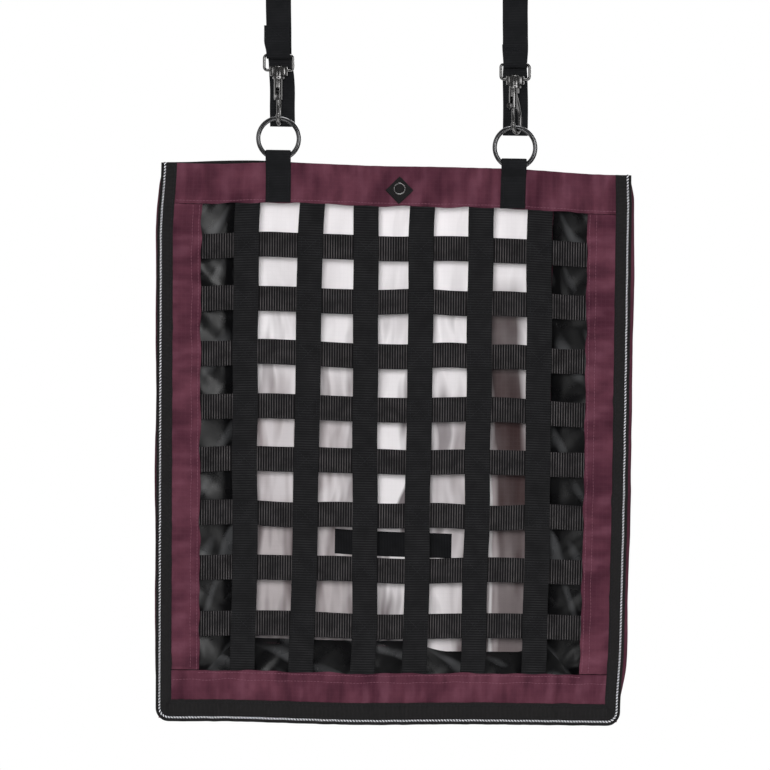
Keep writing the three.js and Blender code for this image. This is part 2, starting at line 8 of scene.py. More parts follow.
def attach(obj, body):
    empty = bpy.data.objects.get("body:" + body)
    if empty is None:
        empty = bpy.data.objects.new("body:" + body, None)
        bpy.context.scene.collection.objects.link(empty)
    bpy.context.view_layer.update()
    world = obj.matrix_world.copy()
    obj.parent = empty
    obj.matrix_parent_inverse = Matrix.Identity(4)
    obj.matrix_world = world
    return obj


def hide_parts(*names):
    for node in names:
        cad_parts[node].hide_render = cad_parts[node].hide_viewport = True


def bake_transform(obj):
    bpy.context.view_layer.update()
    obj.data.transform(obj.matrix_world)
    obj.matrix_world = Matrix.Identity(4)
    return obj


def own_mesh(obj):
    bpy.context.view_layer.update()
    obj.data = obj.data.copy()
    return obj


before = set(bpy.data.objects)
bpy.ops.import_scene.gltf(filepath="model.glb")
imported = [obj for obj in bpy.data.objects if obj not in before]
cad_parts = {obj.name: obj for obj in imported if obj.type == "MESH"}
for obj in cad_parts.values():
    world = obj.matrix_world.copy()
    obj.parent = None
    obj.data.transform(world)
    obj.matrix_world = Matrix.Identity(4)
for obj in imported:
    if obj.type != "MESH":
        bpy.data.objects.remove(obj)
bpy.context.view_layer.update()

MM = 0.001

# ---- Sizes repeated from the frame, in millimetres ----
BAG_X = 3.3
BAG_TOP = -255.0
HALF = 233.0
HEIGHT = 555.0
SPACING = 236.0
TOP_BAND = 40.0
BOTTOM_BAND = 49.5
SIDE_BAND = 42.0
BINDING = 14.2
PIPING_INSET = 2.4
BOTTOM_BINDING = 20.0
CORNER = 12.0
CLOTH_HALF = 231.5
CLOTH_BOTTOM = 553.5
LOW_EDGE = HEIGHT - BOTTOM_BAND
RING_Y = 2.5
BAND_Y = 8.75            # middle of each layer
BINDING_Y = 7.1
PIPING_Y = 5.2
VERTICAL_Y = 10.55
HORIZONTAL_Y = 12.35
FRONT_SEAM_Y = 14.8
REAR_SEAM_Y = 54.8
LINING_Y = 56.6
BACK_Y = 58.25
BACK_BINDING_Y = 59.9
INNER_TAPE_Y = 55.1
SIDES = {"left": -1, "right": 1}


# ---- Camera ----
DISTANCE = 3.2
FRONT_PLANE = 0.007
VIEW_WIDTH = 0.7685      # at the front plane, in metres
cam_data = bpy.data.cameras.new("camera")
cam_data.sensor_width = 36
cam_data.lens = cam_data.sensor_width * DISTANCE / VIEW_WIDTH
cam_data.clip_end = 30
camera = bpy.data.objects.new("camera", cam_data)
bpy.context.scene.collection.objects.link(camera)
camera.matrix_world = (Matrix.Translation((-0.0057, FRONT_PLANE - DISTANCE, -0.474))
                       @ Matrix.Rotation(math.radians(90), 4, "X")
                       @ Matrix.Rotation(math.radians(0.85), 4, "Z"))
bpy.context.scene.camera = camera


# ---- Small maths ----
def smooth(t):
    t = np.clip(t, 0.0, 1.0)
    return t * t * (3 - 2 * t)


def bump_at(x, centre, width):
    return np.exp(-((np.asarray(x) - centre) / width) ** 2)


class Ripple:
    """A smooth irregular curve made of a few waves."""

    def __init__(self, seed, wavelength, waves=7):
        r = np.random.default_rng(seed)
        self.k = 2 * np.pi / (wavelength * r.uniform(0.55, 1.9, waves))
        self.p = r.uniform(0, 2 * np.pi, waves)
        self.a = r.uniform(0.5, 1.0, waves)
        self.a /= np.sqrt((self.a ** 2).sum() / 2)

    def __call__(self, x):
        x = np.asarray(x, float)
        return sum(a * np.sin(k * x + p) for a, k, p in zip(self.a, self.k, self.p)) * 0.6


TOP_PUCKER = Ripple(3, 21)
BOTTOM_PUCKER = Ripple(5, 17)
FINE_PUCKER = Ripple(6, 11)
LEFT_CREASE = Ripple(8, 30)
RIGHT_CREASE = Ripple(9, 26)
HEM_TOP, HEM_FOOT, HEM_LEFT, HEM_RIGHT = Ripple(41, 46), Ripple(42, 40), Ripple(43, 44), Ripple(44, 38)
LINING_FOLD = Ripple(21, 95)
LINING_FINE = Ripple(22, 38)
BACK_WAVE = Ripple(31, 120)
BACK_FINE = Ripple(32, 45)


# ---- The hung bag's shape ----
def front_y(x, s):
    """How far the front's cloth lies behind its flat plane."""
    slow = 1.1 * np.sin(x / 52 + 0.6) * np.sin(s / 70 + 0.4)
    foot = HEIGHT - s
    top = (1.15 * TOP_PUCKER(x + 0.08 * s) + 0.3 * FINE_PUCKER(x - 0.2 * s)) * smooth((62 - s) / 30)
    low = ((1.2 * BOTTOM_PUCKER(x - 0.10 * foot) + 0.3 * FINE_PUCKER(x + 0.3 * foot))
           * smooth((66 - foot) / 26))
    mid = smooth((s - 30) / 30) * smooth((foot - 36) / 30)
    left = (1.1 * LEFT_CREASE(s + 0.25 * x) + 0.3 * FINE_PUCKER(s - 0.4 * x)) * smooth((-x - 180) / 24) * mid
    right = (1.1 * RIGHT_CREASE(s - 0.25 * x) + 0.3 * FINE_PUCKER(s + 0.4 * x)) * smooth((x - 180) / 24) * mid
    return slow + top + low + left + right


def outline_shift(x, s):
    """How the hanging bag's outline leaves its flat rectangle: sideways and upwards."""
    u = (x + HALF) / (2 * HALF)
    left = 0.0148 * (s - HEIGHT / 2) - 1.0 - 1.7 * s / HEIGHT + 4.0 * smooth(1 - s / 70)
    right = (-0.0057 * (s - HEIGHT / 2) - 1.3 * smooth(1 - s / 260) + 0.6 * bump_at(s, 330, 90)
             - 2.4 * smooth((s - 470) / 70) - 1.0 * smooth(1 - s / 34))
    top = (-0.013 * x - 3.4 * smooth((np.abs(x + 3) - 112) / 100) - 0.9 * bump_at(x, -20, 45)
           - 1.0 * bump_at(x, -165, 30) + 0.3)
    foot = 0.005 * x - 1.7 * bump_at(x, -25, 70) + 0.7 * bump_at(x, -160, 40)
    t = np.clip(s / HEIGHT, 0, 1)
    return left * (1 - u) + right * u, top * (1 - t) + foot * t


def back_y(x, s):
    inner = smooth((CLOTH_HALF - np.abs(x)) / 30) * smooth((HEIGHT - s) / 40)
    return inner * (0.8 * BACK_WAVE(x + 0.2 * s) + 0.35 * BACK_FINE(s * 0.8 + 0.5 * x))


def hung(x, s, y, waves):
    """Bag coordinates (across, down, layer) to the frame in mm, with the waves of that panel."""
    x, s, y = np.broadcast_arrays(*(np.asarray(v, float) for v in (x, s, y)))
    dx, dz = outline_shift(x, s)
    return np.stack([BAG_X + x + dx, y + waves(x, s), BAG_TOP - s + dz], -1)


def front(x, s, y):
    return hung(x, s, y, front_y)


def back(x, s, y):
    p = hung(x, s, y, back_y)
    p[..., 2] += (3.4 * bump_at(x, -168, 46) - 2.6) * np.clip(1 - s / HEIGHT, 0, 1) ** 2
    return p


# ---- Mesh builders ----
def mesh_object(name, verts, faces, looks, uv=None, face_look=None, sharp=38, weld=0.0):
    me = bpy.data.meshes.new(name)
    me.from_pydata((np.asarray(verts) * MM).tolist(), [], [tuple(f) for f in faces])
    if uv is not None:
        layer = me.uv_layers.new(name="cloth")
        index = np.empty(len(me.loops), np.int32)
        me.loops.foreach_get("vertex_index", index)
        layer.data.foreach_set("uv", (np.asarray(uv)[index] * MM).astype(np.float32).ravel())
    for look in looks:
        me.materials.append(look)
    if face_look is not None:
        me.polygons.foreach_set("material_index", face_look)
    bm = bmesh.new()
    bm.from_mesh(me)
    if weld:
        bmesh.ops.remove_doubles(bm, verts=bm.verts, dist=weld * MM)
        bmesh.ops.dissolve_degenerate(bm, edges=bm.edges, dist=weld * MM)
    bmesh.ops.recalc_face_normals(bm, faces=bm.faces)
    bm.to_mesh(me)
    bm.free()
    me.polygons.foreach_set("use_smooth", [True] * len(me.polygons))
    me.set_sharp_from_angle(angle=math.radians(sharp))
    obj = bpy.data.objects.new(name, me)
    bpy.context.scene.collection.objects.link(obj)
    return obj


def finish_piece(obj, body, slot, *nodes):
    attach(obj, body)
    if nodes:
        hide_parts(*nodes)
    return obj


def grid_faces(rows, cols, start=0, wrap_rows=False, wrap_cols=False):
    i = np.arange(rows if wrap_rows else rows - 1)
    j = np.arange(cols if wrap_cols else cols - 1)
    i, j = np.meshgrid(i, j, indexing="ij")
    i2, j2 = (i + 1) % rows, (j + 1) % cols
    return (start + np.stack([i * cols + j, i2 * cols + j, i2 * cols + j2, i * cols + j2], -1)).reshape(-1, 4)


def closed_sheet(face, rear):
    """Vertices and faces of a thin closed solid between two grids."""
    rows, cols = face.shape[:2]
    n = rows * cols
    a = grid_faces(rows, cols)
    b = grid_faces(rows, cols, n)[:, ::-1]
    ids = np.arange(n).reshape(rows, cols)
    rim = np.concatenate([ids[0, :-1], ids[:-1, -1], ids[-1, :0:-1], ids[:0:-1, 0]])
    nxt = np.roll(rim, -1)
    side = np.stack([rim, nxt, nxt + n, rim + n], -1)
    return np.concatenate([face.reshape(-1, 3), rear.reshape(-1, 3)]), np.concatenate([a, b, side])


def edge_samples(low, high, step, edge=0.7):
    """Sample places along a side, with extra ones close to both ends for a rounded edge."""
    count = max(2, int(round((high - low - 2 * edge) / step)) + 1)
    inner = np.linspace(low + edge, high - edge, count)
    return np.concatenate([[low, low + edge * 0.35], inner, [high - edge * 0.35, high]])


def edge_weight(t, low, high, edge=0.7):
    d = np.minimum(t - low, high - t) / edge
    return np.clip(np.sqrt(np.clip(1 - (1 - np.clip(d, 0, 1)) ** 2, 0, 1)), 0.28, 1)


def two_sided(name, face, rear, uv, looks, sharp=38):
    """A thin closed piece with the same cloth coordinates on both grids; the last look is at the rear."""
    verts, faces = closed_sheet(face, rear)
    flat = np.stack(np.broadcast_arrays(*uv), -1).reshape(-1, 2)
    quads = (len(face) - 1) * (len(face[0]) - 1)
    side = np.zeros(len(faces), np.int32)
    side[quads:2 * quads] = len(looks) - 1
    return mesh_object(name, verts, faces, looks, np.concatenate([flat, flat]), face_look=side, sharp=sharp)


def slab(name, place, a, b, y, thick, look, upright=False):
    """Flat cloth over the grid a (across) by b (down) in a bag plane; upright turns its weave."""
    A, B = np.meshgrid(a, b, indexing="ij")
    up = thick / 2 * (edge_weight(A, a[0], a[-1]) * edge_weight(B, b[0], b[-1]))
    return two_sided(name, place(A, B, y - up), place(A, B, y + up), (B, A) if upright else (A, B), [look])


def shell(name, mid, uv, thick, looks, weight=1.0):
    """Cloth round a grid of middle points, thinned by weight; the first look is on its +normal side."""
    n = np.cross(np.gradient(mid, axis=0), np.gradient(mid, axis=1))
    n /= np.linalg.norm(n, axis=-1, keepdims=True) + 1e-12
    up = n * np.broadcast_to(thick / 2 * weight, mid.shape[:2])[..., None]
    return two_sided(name, mid + up, mid - up, uv, looks)


def frames(points, closed=False):
    """Tangents and two normals carried along a path."""
    p = np.asarray(points, float)
    if closed:
        tangent = np.roll(p, -1, 0) - np.roll(p, 1, 0)
    else:
        tangent = np.gradient(p, axis=0)
    tangent /= np.linalg.norm(tangent, axis=1, keepdims=True)
    ref = np.array([0.0, 1.0, 0.0]) if abs(tangent[0][1]) < 0.9 else np.array([1.0, 0.0, 0.0])
    a = np.empty_like(p)
    for i, t in enumerate(tangent):
        ref = ref - t * (ref @ t)
        ref /= np.linalg.norm(ref)
        a[i] = ref
    return tangent, a, np.cross(tangent, a)


def circle(sides):
    """Cosines and sines of even steps round a circle."""
    angle = np.arange(sides) * 2 * np.pi / sides
    return np.cos(angle), np.sin(angle)


def in_xz(x, z, y=0.0):
    return np.column_stack([x, np.full(len(x), y), z])


def capped(rows, sides):
    """Faces of a closed solid through rows of points, each row a ring."""
    return [*grid_faces(rows, sides, wrap_cols=True), range(sides), range((rows - 1) * sides, rows * sides)]


def tube(points, radius, sides=12, closed=False):
    """Round wire along a path, with rounded ends."""
    p = np.asarray(points, float)
    r = np.broadcast_to(np.asarray(radius, float), (len(p),)).copy()
    tangent, a, b = frames(p, closed)
    if not closed:
        head = [p[0] - tangent[0] * r[0] * f for f in (0.95, 0.6)]
        tail = [p[-1] + tangent[-1] * r[-1] * f for f in (0.6, 0.95)]
        p = np.concatenate([head, p, tail])
        r = np.concatenate([r[0] * np.array([0.3, 0.8]), r, r[-1] * np.array([0.8, 0.3])])
        a = np.concatenate([a[:1], a[:1], a, a[-1:], a[-1:]])
        b = np.concatenate([b[:1], b[:1], b, b[-1:], b[-1:]])
    cos, sin = circle(sides)
    ring = cos[None, :, None] * a[:, None] + sin[None, :, None] * b[:, None]
    verts = (p[:, None] + ring * r[:, None, None]).reshape(-1, 3)
    if closed:
        return verts, grid_faces(len(p), sides, wrap_rows=True, wrap_cols=True)
    return verts, capped(len(p), sides)


def lathe(profile, sides=44, x=0.0, axis="z"):
    """A turned shape from (radius, height) pairs, closed when it starts and ends on the axis."""
    radius, height = np.array(profile, float).T[..., None]
    cos, sin = circle(sides)
    verts = np.stack([radius * cos, radius * sin, np.repeat(height, sides, 1)], -1)
    verts = verts.reshape(-1, 3)
    if axis == "x":
        verts = verts[:, [2, 0, 1]]
    return verts + np.array([x, 0.0, 0.0]), grid_faces(len(profile), sides, wrap_cols=True)


def joined(*parts):
    verts, faces, n = [], [], 0
    for v, f in parts:
        verts.append(np.asarray(v))
        faces.extend(tuple(int(k) + n for k in face) for face in f)
        n += len(v)
    return np.concatenate(verts), faces


def run_along(points):
    """The length of a path up to each of its points."""
    return np.concatenate([[0], np.cumsum(np.linalg.norm(np.diff(points, axis=0), axis=1))])


def resample(points, step):
    p = np.asarray(points, float)
    d = run_along(p)
    count = max(2, int(round(d[-1] / step)) + 1)
    t = np.linspace(0, d[-1], count)
    return np.stack([np.interp(t, d, p[:, k]) for k in range(p.shape[1])], -1), t


def softened(points, step, window):
    """The path at even steps, with its corners rounded."""
    p, _ = resample(points, step)
    half = max(1, int(round(window / step / 2)))
    kernel = np.ones(2 * half + 1) / (2 * half + 1)
    padded = np.concatenate([np.repeat(p[:1], half, 0), p, np.repeat(p[-1:], half, 0)])
    out = np.stack([np.convolve(padded[:, k], kernel, "valid") for k in range(p.shape[1])], -1)
    out[0], out[-1] = p[0], p[-1]
    return out


def stitches(name, lines, look, body, slot, pitch=3.2, length=2.5, radius=0.24, lift=0.12, outward=-1):
    """Rows of single thread stitches along lines on cloth that faces outward along Y."""
    parts = []
    out = np.array((0, outward, 0), float)
    cos, sin = circle(5)
    for line in lines:
        p, t = resample(line, 0.4)
        for s in np.arange(pitch * 0.3, t[-1] - length, pitch):
            at = [np.array([np.interp(s + f * length, t, p[:, k]) for k in range(3)])
                  for f in (0, 0.25, 0.75, 1)]
            side = np.cross(at[3] - at[0], out)
            side /= np.linalg.norm(side)
            ring = radius * (cos[:, None] * side + sin[:, None] * out)
            parts.append((np.concatenate([q + out * (lift * rise) + thick * ring for q, rise, thick
                                          in zip(at, (-0.5, 1, 1, -0.5), (0.7, 1, 1, 0.7))]), capped(4, 5)))
    finish_piece(mesh_object(name, *joined(*parts), [look]), body, slot)


# ---- Materials ----
def srgb(r, g, b):
    def linear(c):
        c /= 255
        return c / 12.92 if c <= 0.04045 else ((c + 0.055) / 1.055) ** 2.4

    return (linear(r), linear(g), linear(b), 1.0)


class Field:
    """A shader value or vector, which adds, subtracts and multiplies."""

    def __init__(self, look, socket):
        self.look = look
        self.socket = socket

    def __add__(self, other):
        return self.look.math("ADD", self, other)

    def __sub__(self, other):
        return self.look.math("SUBTRACT", self, other)

    def __mul__(self, other):
        return self.look.math("MULTIPLY", self, other)

    def __abs__(self):
        return self.look.math("ABSOLUTE", self)

    def fit(self, low, high, to_low=0.0, to_high=1.0):
        """The span from low to high laid on the one from to_low to to_high, and clamped there."""
        node = self.look.add("ShaderNodeMapRange", {"clamp": True}, Value=self)
        for key, v in (("From Min", low), ("From Max", high), ("To Min", to_low), ("To Max", to_high)):
            node.inputs[key].default_value = v
        return Field(self.look, node.outputs[0])

    def wave(self, pitch):
        """0 to 1 and back along a coordinate in metres."""
        return self.look.math("SINE", self * (2 * math.pi / pitch)) * 0.5 + 0.5

    def line(self, pitch, sharp):
        """1 on thin lines that repeat at a pitch."""
        return self.look.math("POWER", abs(self.look.math("COSINE", self * (math.pi / pitch))), sharp)

    def scaled(self, factors):
        return self.look.vector_math("MULTIPLY", self, factors)

    def moved(self, offset):
        return self.look.vector_math("ADD", self, offset)

    def noise(self, scale, detail=3.0, rough=0.55):
        return self.look.source("ShaderNodeTexNoise", "Fac", Vector=self, Scale=scale, Detail=detail,
                                Roughness=rough)


class Nodes:
    """A shader tree built node by node."""

    def __init__(self, tree):
        self.t = tree

    def put(self, socket, value):
        if isinstance(value, Field):
            self.t.links.new(value.socket, socket)
        else:
            socket.default_value = value

    def add(self, kind, settings=None, sockets=(), **named):
        """A node with its settings, and its inputs by number from sockets or by name."""
        node = self.t.nodes.new(kind)
        for k, v in (settings or {}).items():
            setattr(node, k, v)
        for k, v in (*enumerate(sockets), *named.items()):
            self.put(node.inputs[k], v)
        return node

    def source(self, kind, output, **named):
        return Field(self, self.add(kind, **named).outputs[output])

    def math(self, op, a, b=0.0):
        return Field(self, self.add("ShaderNodeMath", {"operation": op}, (a, b)).outputs[0])

    def vector_math(self, op, a, b):
        return Field(self, self.add("ShaderNodeVectorMath", {"operation": op}, (a, b)).outputs[0])

    def axes(self, vector):
        return [Field(self, out) for out in self.add("ShaderNodeSeparateXYZ", Vector=vector).outputs]

    def mix(self, fac, a, b):
        node = self.add("ShaderNodeMix", {"data_type": "RGBA"})
        for k, v in ((0, fac), (6, a), (7, b)):
            self.put(node.inputs[k], v)
        return Field(self, node.outputs[2])


class Look(Nodes):
    """A Principled material."""

    def __init__(self, name, rough, metal=0.0, sheen=0.0, specular=0.5):
        self.m = bpy.data.materials.new(name)
        self.m.use_nodes = True
        super().__init__(self.m.node_tree)
        self.b = self.t.nodes["Principled BSDF"]
        for key, v in (("Roughness", rough), ("Metallic", metal), ("Sheen Weight", sheen),
                       ("Specular IOR Level", specular)):
            self.b.inputs[key].default_value = v
        self.height = None

    def cloth_uv(self):
        uv = self.source("ShaderNodeUVMap", "UV", settings={"uv_map": "cloth"})
        return uv, *self.axes(uv)[:2]

    def place(self):
        return self.source("ShaderNodeTexCoord", "Object")

    def ripstop(self, u, v):
        """The coarse square grid of stronger threads in the cloth."""
        return self.math("MAXIMUM", u.line(0.0042, 26), v.line(0.0042, 26))

    def raise_by(self, height, distance, strength):
        """One more layer of bump, over those before it."""
        node = self.add("ShaderNodeBump", Strength=strength, Distance=distance, Height=height)
        if self.height is not None:
            self.put(node.inputs["Normal"], self.height)
        self.height = Field(self, node.outputs["Normal"])
        self.put(self.b.inputs["Normal"], self.height)

    def color(self, field):
        self.put(self.b.inputs["Base Color"], field)

    def rough(self, field, low, high):
        self.put(self.b.inputs["Roughness"], field.fit(0.3, 0.7, low, high))


def webbing(name, dark, light, pitch, crest, fluff=0.22):
    """Ribs across the strap, painted lighter on their tops and darker in their valleys: painted highlight and
    painted shade; crest sets how narrow the painted light tops are, fluff how hairy they look.
    """
    look = Look(name, 0.72, specular=0.04)
    uv, u, v = look.cloth_uv()
    rib = look.math("POWER", v.wave(pitch), crest)
    fibre = uv.scaled((900, 240, 1)).noise(1.0, 2)
    # painted highlight on the rib tops and painted shade between them, made patchy by noise
    patchy_tone = rib * uv.noise(70).fit(0.35, 0.65, 0.35, 1.0)
    tone = look.mix(patchy_tone * 0.8 + fibre * fluff, dark, light)
    look.color(look.mix(uv.noise(26).fit(0.4, 0.8, 0.0, 0.18), tone, srgb(38, 38, 40)))
    look.rough(fibre, 0.62, 0.84)
    look.raise_by(u.wave(0.0011) * v.wave(0.0009), 0.00016, 0.5)
    look.raise_by(fibre, 0.00010, 0.35)
    return look.m


def burgundy_cloth(name, spread, painted_crease_strength, depth):
    """spread sets how close the creases lie, depth how high they stand, and the argument between them how
    strongly the creases' painted highlight and painted shade show.
    """
    look = Look(name, 0.7, specular=0.08)
    uv, u, v = look.cloth_uv()
    grid = look.ripstop(u, v)
    fine = uv.noise(210, 4)
    # long soft creases, square to the seam that gathers them, each with a painted highlight on one flank and
    # painted shade on the other
    stretched = uv.scaled(spread)
    crease = stretched.noise(1.0, 2.0, 0.5)
    relief_light_and_shade = stretched.moved((0.22, 0.15, 0.0)).noise(1.0, 2.0, 0.5) - crease
    tone = look.mix(uv.noise(17).fit(0.32, 0.68), srgb(66, 33, 45), srgb(88, 49, 61))
    # painted highlight and painted shade: one flank of each crease lighter, the other darker, as if lit from
    # one side
    tone = look.mix(relief_light_and_shade.fit(0.01, 0.16, 0, 0.42 * painted_crease_strength), tone, srgb(112, 70, 84))
    tone = look.mix(relief_light_and_shade.fit(-0.01, -0.16, 0, 0.55 * painted_crease_strength), tone, srgb(42, 18, 28))
    tone = look.mix(grid * 0.05, tone, srgb(120, 78, 92))
    look.color(look.mix(fine.fit(0.35, 0.75, 0, 0.16), tone, srgb(56, 27, 38)))
    look.rough(fine, 0.60, 0.78)
    look.raise_by(grid, 0.00016, 0.3)
    look.raise_by(u.wave(0.0007) * v.wave(0.0007), 0.00012, 0.35)
    look.raise_by(crease, depth, 0.6)
    look.raise_by(uv.noise(62), 0.0009, 0.4)
    return look.m


def tape():
    look = Look("black_tape", 0.72, specular=0.06)
    uv, _, v = look.cloth_uv()
    rib = v.wave(0.0013)
    fibre = uv.scaled((260, 900, 1)).noise(1.0, 2)
    # painted highlight on the rib tops, darker between them
    look.color(look.mix(rib * fibre, srgb(22, 22, 22), srgb(48, 46, 47)))
    look.rough(fibre, 0.58, 0.80)
    look.raise_by(rib, 0.00022, 0.6)
    look.raise_by(uv.noise(90), 0.0007, 0.3)
    return look.m


def coated_black():
    """Soft glossy cloth, crushed into slanting folds, with a painted grey glint on one flank of each fold."""
    look = Look("black_coated", 0.3, specular=0.5)
    uv, u, v = look.cloth_uv()
    slanted = look.source("ShaderNodeCombineXYZ", 0, X=u * 32 + v * 13, Y=v * 10 - u * 6)
    crush = slanted.noise(1.0, 1.5, 0.4)
    relief_light_and_shade = slanted.moved((0.22, 0.1, 0.0)).noise(1.0, 1.5, 0.4) - crush
    tone = look.mix(crush.fit(0.35, 0.7), srgb(5, 5, 6), srgb(14, 14, 15))
    # painted highlight: grey glints painted on one flank of the folds
    look.color(look.mix(relief_light_and_shade.fit(0.04, 0.15, 0, 0.42), tone, srgb(92, 93, 95)))
    look.rough(uv.noise(60, 2), 0.24, 0.36)
    look.raise_by(crush, 0.006, 0.6)
    return look.m


def silver_lining():
    """Silvered cloth with painted shade in its folds, darker in its lower half and at its foot, with a
    painted brownish shadow along one fold at the right and a painted highlight on that fold's crest.
    """
    look = Look("silver_lining", 0.5, sheen=0.05, specular=0.4)
    uv, u, v = look.cloth_uv()
    x, _, z = look.axes(look.place())
    grid = look.ripstop(u, v)
    bend = look.source("ShaderNodeTexNoise", "Color", Vector=uv, Scale=7.0)
    bent = look.vector_math("ADD", uv.scaled((24, 4.5, 1)), bend.scaled((1.6, 0.3, 0.0)))
    streak = bent.noise(1.0)
    cloudy = uv.noise(9, 4)
    # painted shade in the folds: grey streaks, stronger lower down
    painted_fold_shade = streak.fit(0.50, 0.68) * z.fit(-0.30, -0.50, 0.06, 0.85)
    tone = look.mix(painted_fold_shade, srgb(243, 239, 241), srgb(146, 138, 141))
    # painted shade on one flank of each fold, stronger lower down
    relief_light_and_shade = bent.moved((0.34, 0.03, 0.0)).noise(1.0) - streak
    shaded = relief_light_and_shade.fit(0.015, 0.11) * z.fit(-0.36, -0.54, 0.08, 0.95)
    tone = look.mix(shaded, tone, srgb(104, 96, 99))
    # the lower half is darker, most of all towards the sides, and its foot darker still, in patches
    side = abs(x - 0.018).fit(0.015, 0.085)
    cloud = cloudy.fit(0.30, 0.62, 0.55, 1.0)
    patchy_tone = uv.scaled((46, 8, 1)).noise(1.0, 2).fit(0.43, 0.60)
    lower_sides_darker = z.fit(-0.44, -0.51) * side * cloud
    tone = look.mix(lower_sides_darker, tone, look.mix(patchy_tone, srgb(208, 202, 204), srgb(134, 121, 122)))
    foot = z.fit(-0.585, -0.625)
    foot_darker = look.math("MAXIMUM", foot * side, foot * 0.25) * cloud
    tone = look.mix(foot_darker, tone, look.mix(patchy_tone, srgb(176, 168, 169), srgb(100, 90, 91)))
    # painted brownish shadow in one long fold at the right, with a painted highlight along its crest
    beside = x - (z.fit(-0.42, -0.60, 0.109, 0.121) + streak.fit(0.3, 0.7, -0.004, 0.004))
    across = beside.fit(-0.0145, -0.0085) * beside.fit(0.017, 0.028, 1.0, 0.0)
    down = z.fit(-0.362, -0.404) * z.fit(-0.59, -0.64, 1.0, 0.72)
    painted_fold_shadow = across * down * cloudy.fit(0.2, 0.6, 0.82, 1.0)
    tone = look.mix(painted_fold_shadow, tone, srgb(62, 47, 47))
    # painted highlight along the fold's crest
    crest = abs(beside + 0.0175).fit(0.0008, 0.0026, 0.75, 0.0)
    tone = look.mix(crest * down, tone, srgb(250, 248, 249))
    look.color(look.mix(grid * 0.03, tone, srgb(150, 146, 150)))
    look.rough(uv.noise(300), 0.42, 0.60)
    look.raise_by(grid, 0.00014, 0.4)
    look.raise_by(uv.noise(60), 0.0012, 0.3)
    return look.m


def silver_cord():
    look = Look("silver_cord", 0.42, specular=0.6)
    fibre = look.place().noise(1500)
    look.color(look.mix(fibre, srgb(196, 196, 202), srgb(244, 244, 248)))
    look.rough(fibre, 0.30, 0.55)
    look.raise_by(fibre, 0.0001, 0.5)
    return look.m



def nickel(name, dark, light, low, high):
    """Plated metal between two tones, its roughness between low and high."""
    look = Look(name, low, metal=1.0)
    place = look.place()
    scratch = place.scaled((240, 240, 2400)).noise(1.0, 2)
    look.color(look.mix(place.noise(60).fit(0.3, 0.7), dark, light))
    look.rough(place.noise(900) * 0.5 + scratch * 0.5, low, high)
    return look.m


def thread(name, dark, light):
    look = Look(name, 0.6, specular=0.15)
    fibre = look.place().noise(2400, 2)
    look.color(look.mix(fibre, dark, light))
    look.raise_by(fibre, 0.00008, 0.5)
    return look.m


NET_H = webbing("net_webbing_across", srgb(9, 9, 10), srgb(104, 100, 101), 0.0025, crest=8.0, fluff=0.05)
NET_V = webbing("net_webbing_down", srgb(16, 16, 17), srgb(42, 42, 43), 0.0025, crest=2.0)
STRAP_WEB = webbing("strap_webbing", srgb(17, 18, 19), srgb(36, 36, 38), 0.0016, crest=1.5)
BURGUNDY = burgundy_cloth("burgundy_cloth", (39, 17, 1), 0.85, 0.0038)
BURGUNDY_WIDE = burgundy_cloth("burgundy_panel", (11, 5, 1), 0.55, 0.009)
TAPE = tape()
COATED = coated_black()
LINING = silver_lining()
CORD = silver_cord()
DARK_NICKEL = nickel("dark_nickel", (0.17, 0.17, 0.175, 1), (0.23, 0.23, 0.235, 1), 0.18, 0.30)
BRIGHT_NICKEL = nickel("bright_nickel", (0.24, 0.235, 0.235, 1), (0.33, 0.325, 0.32, 1), 0.18, 0.30)
SPRING = nickel("spring_steel", (0.22, 0.22, 0.23, 1), (0.34, 0.34, 0.35, 1), 0.25, 0.4)
BLACK_THREAD = thread("black_thread", srgb(15, 15, 17), srgb(36, 36, 40))
PINK_THREAD = thread("burgundy_thread", srgb(84, 45, 58), srgb(132, 90, 104))


# ---- Front bands ----
INNER = HALF - SIDE_BAND
SIDE_TOP = TOP_BAND + 0.3
SIDE_LOW = LOW_EDGE - 0.3


def front_hem(x, s, y):
    """The front with its window's edge a little uneven, as hand-guided sewing leaves it."""
    inside_x = smooth((INNER - 4 - np.abs(x)) / 10)
    inside_s = smooth((s - TOP_BAND - 4) / 10) * smooth((LOW_EDGE - 4 - s) / 10)
    ds = 0.9 * inside_x * (HEM_TOP(x) * smooth((s - TOP_BAND + 14) / 14) * (s < HEIGHT / 2)
                           + HEM_FOOT(x) * smooth((LOW_EDGE + 14 - s) / 14) * (s > HEIGHT / 2))
    edge = smooth((INNER + 14 - np.abs(x)) / 14) * inside_s
    dx = 0.9 * edge * np.where(x < 0, HEM_LEFT(s), HEM_RIGHT(s))
    return front(x + dx, s + ds, y)


for where, x0, x1, s0, s1 in (("top", -CLOTH_HALF, CLOTH_HALF, 0, TOP_BAND),
                              ("bottom", -CLOTH_HALF, CLOTH_HALF, LOW_EDGE + 0.3, CLOTH_BOTTOM),
                              ("left", -CLOTH_HALF, -INNER, SIDE_TOP, SIDE_LOW),
                              ("right", INNER, CLOTH_HALF, SIDE_TOP, SIDE_LOW)):
    obj = slab(f"band_cloth_{where}", front_hem, edge_samples(x0, x1, 1.8), edge_samples(s0, s1, 1.8),
               BAND_Y, 1.4, BURGUNDY, upright=where in SIDES)
    finish_piece(obj, "bag_front", "burgundy_cloth", f"front_band_{where}")

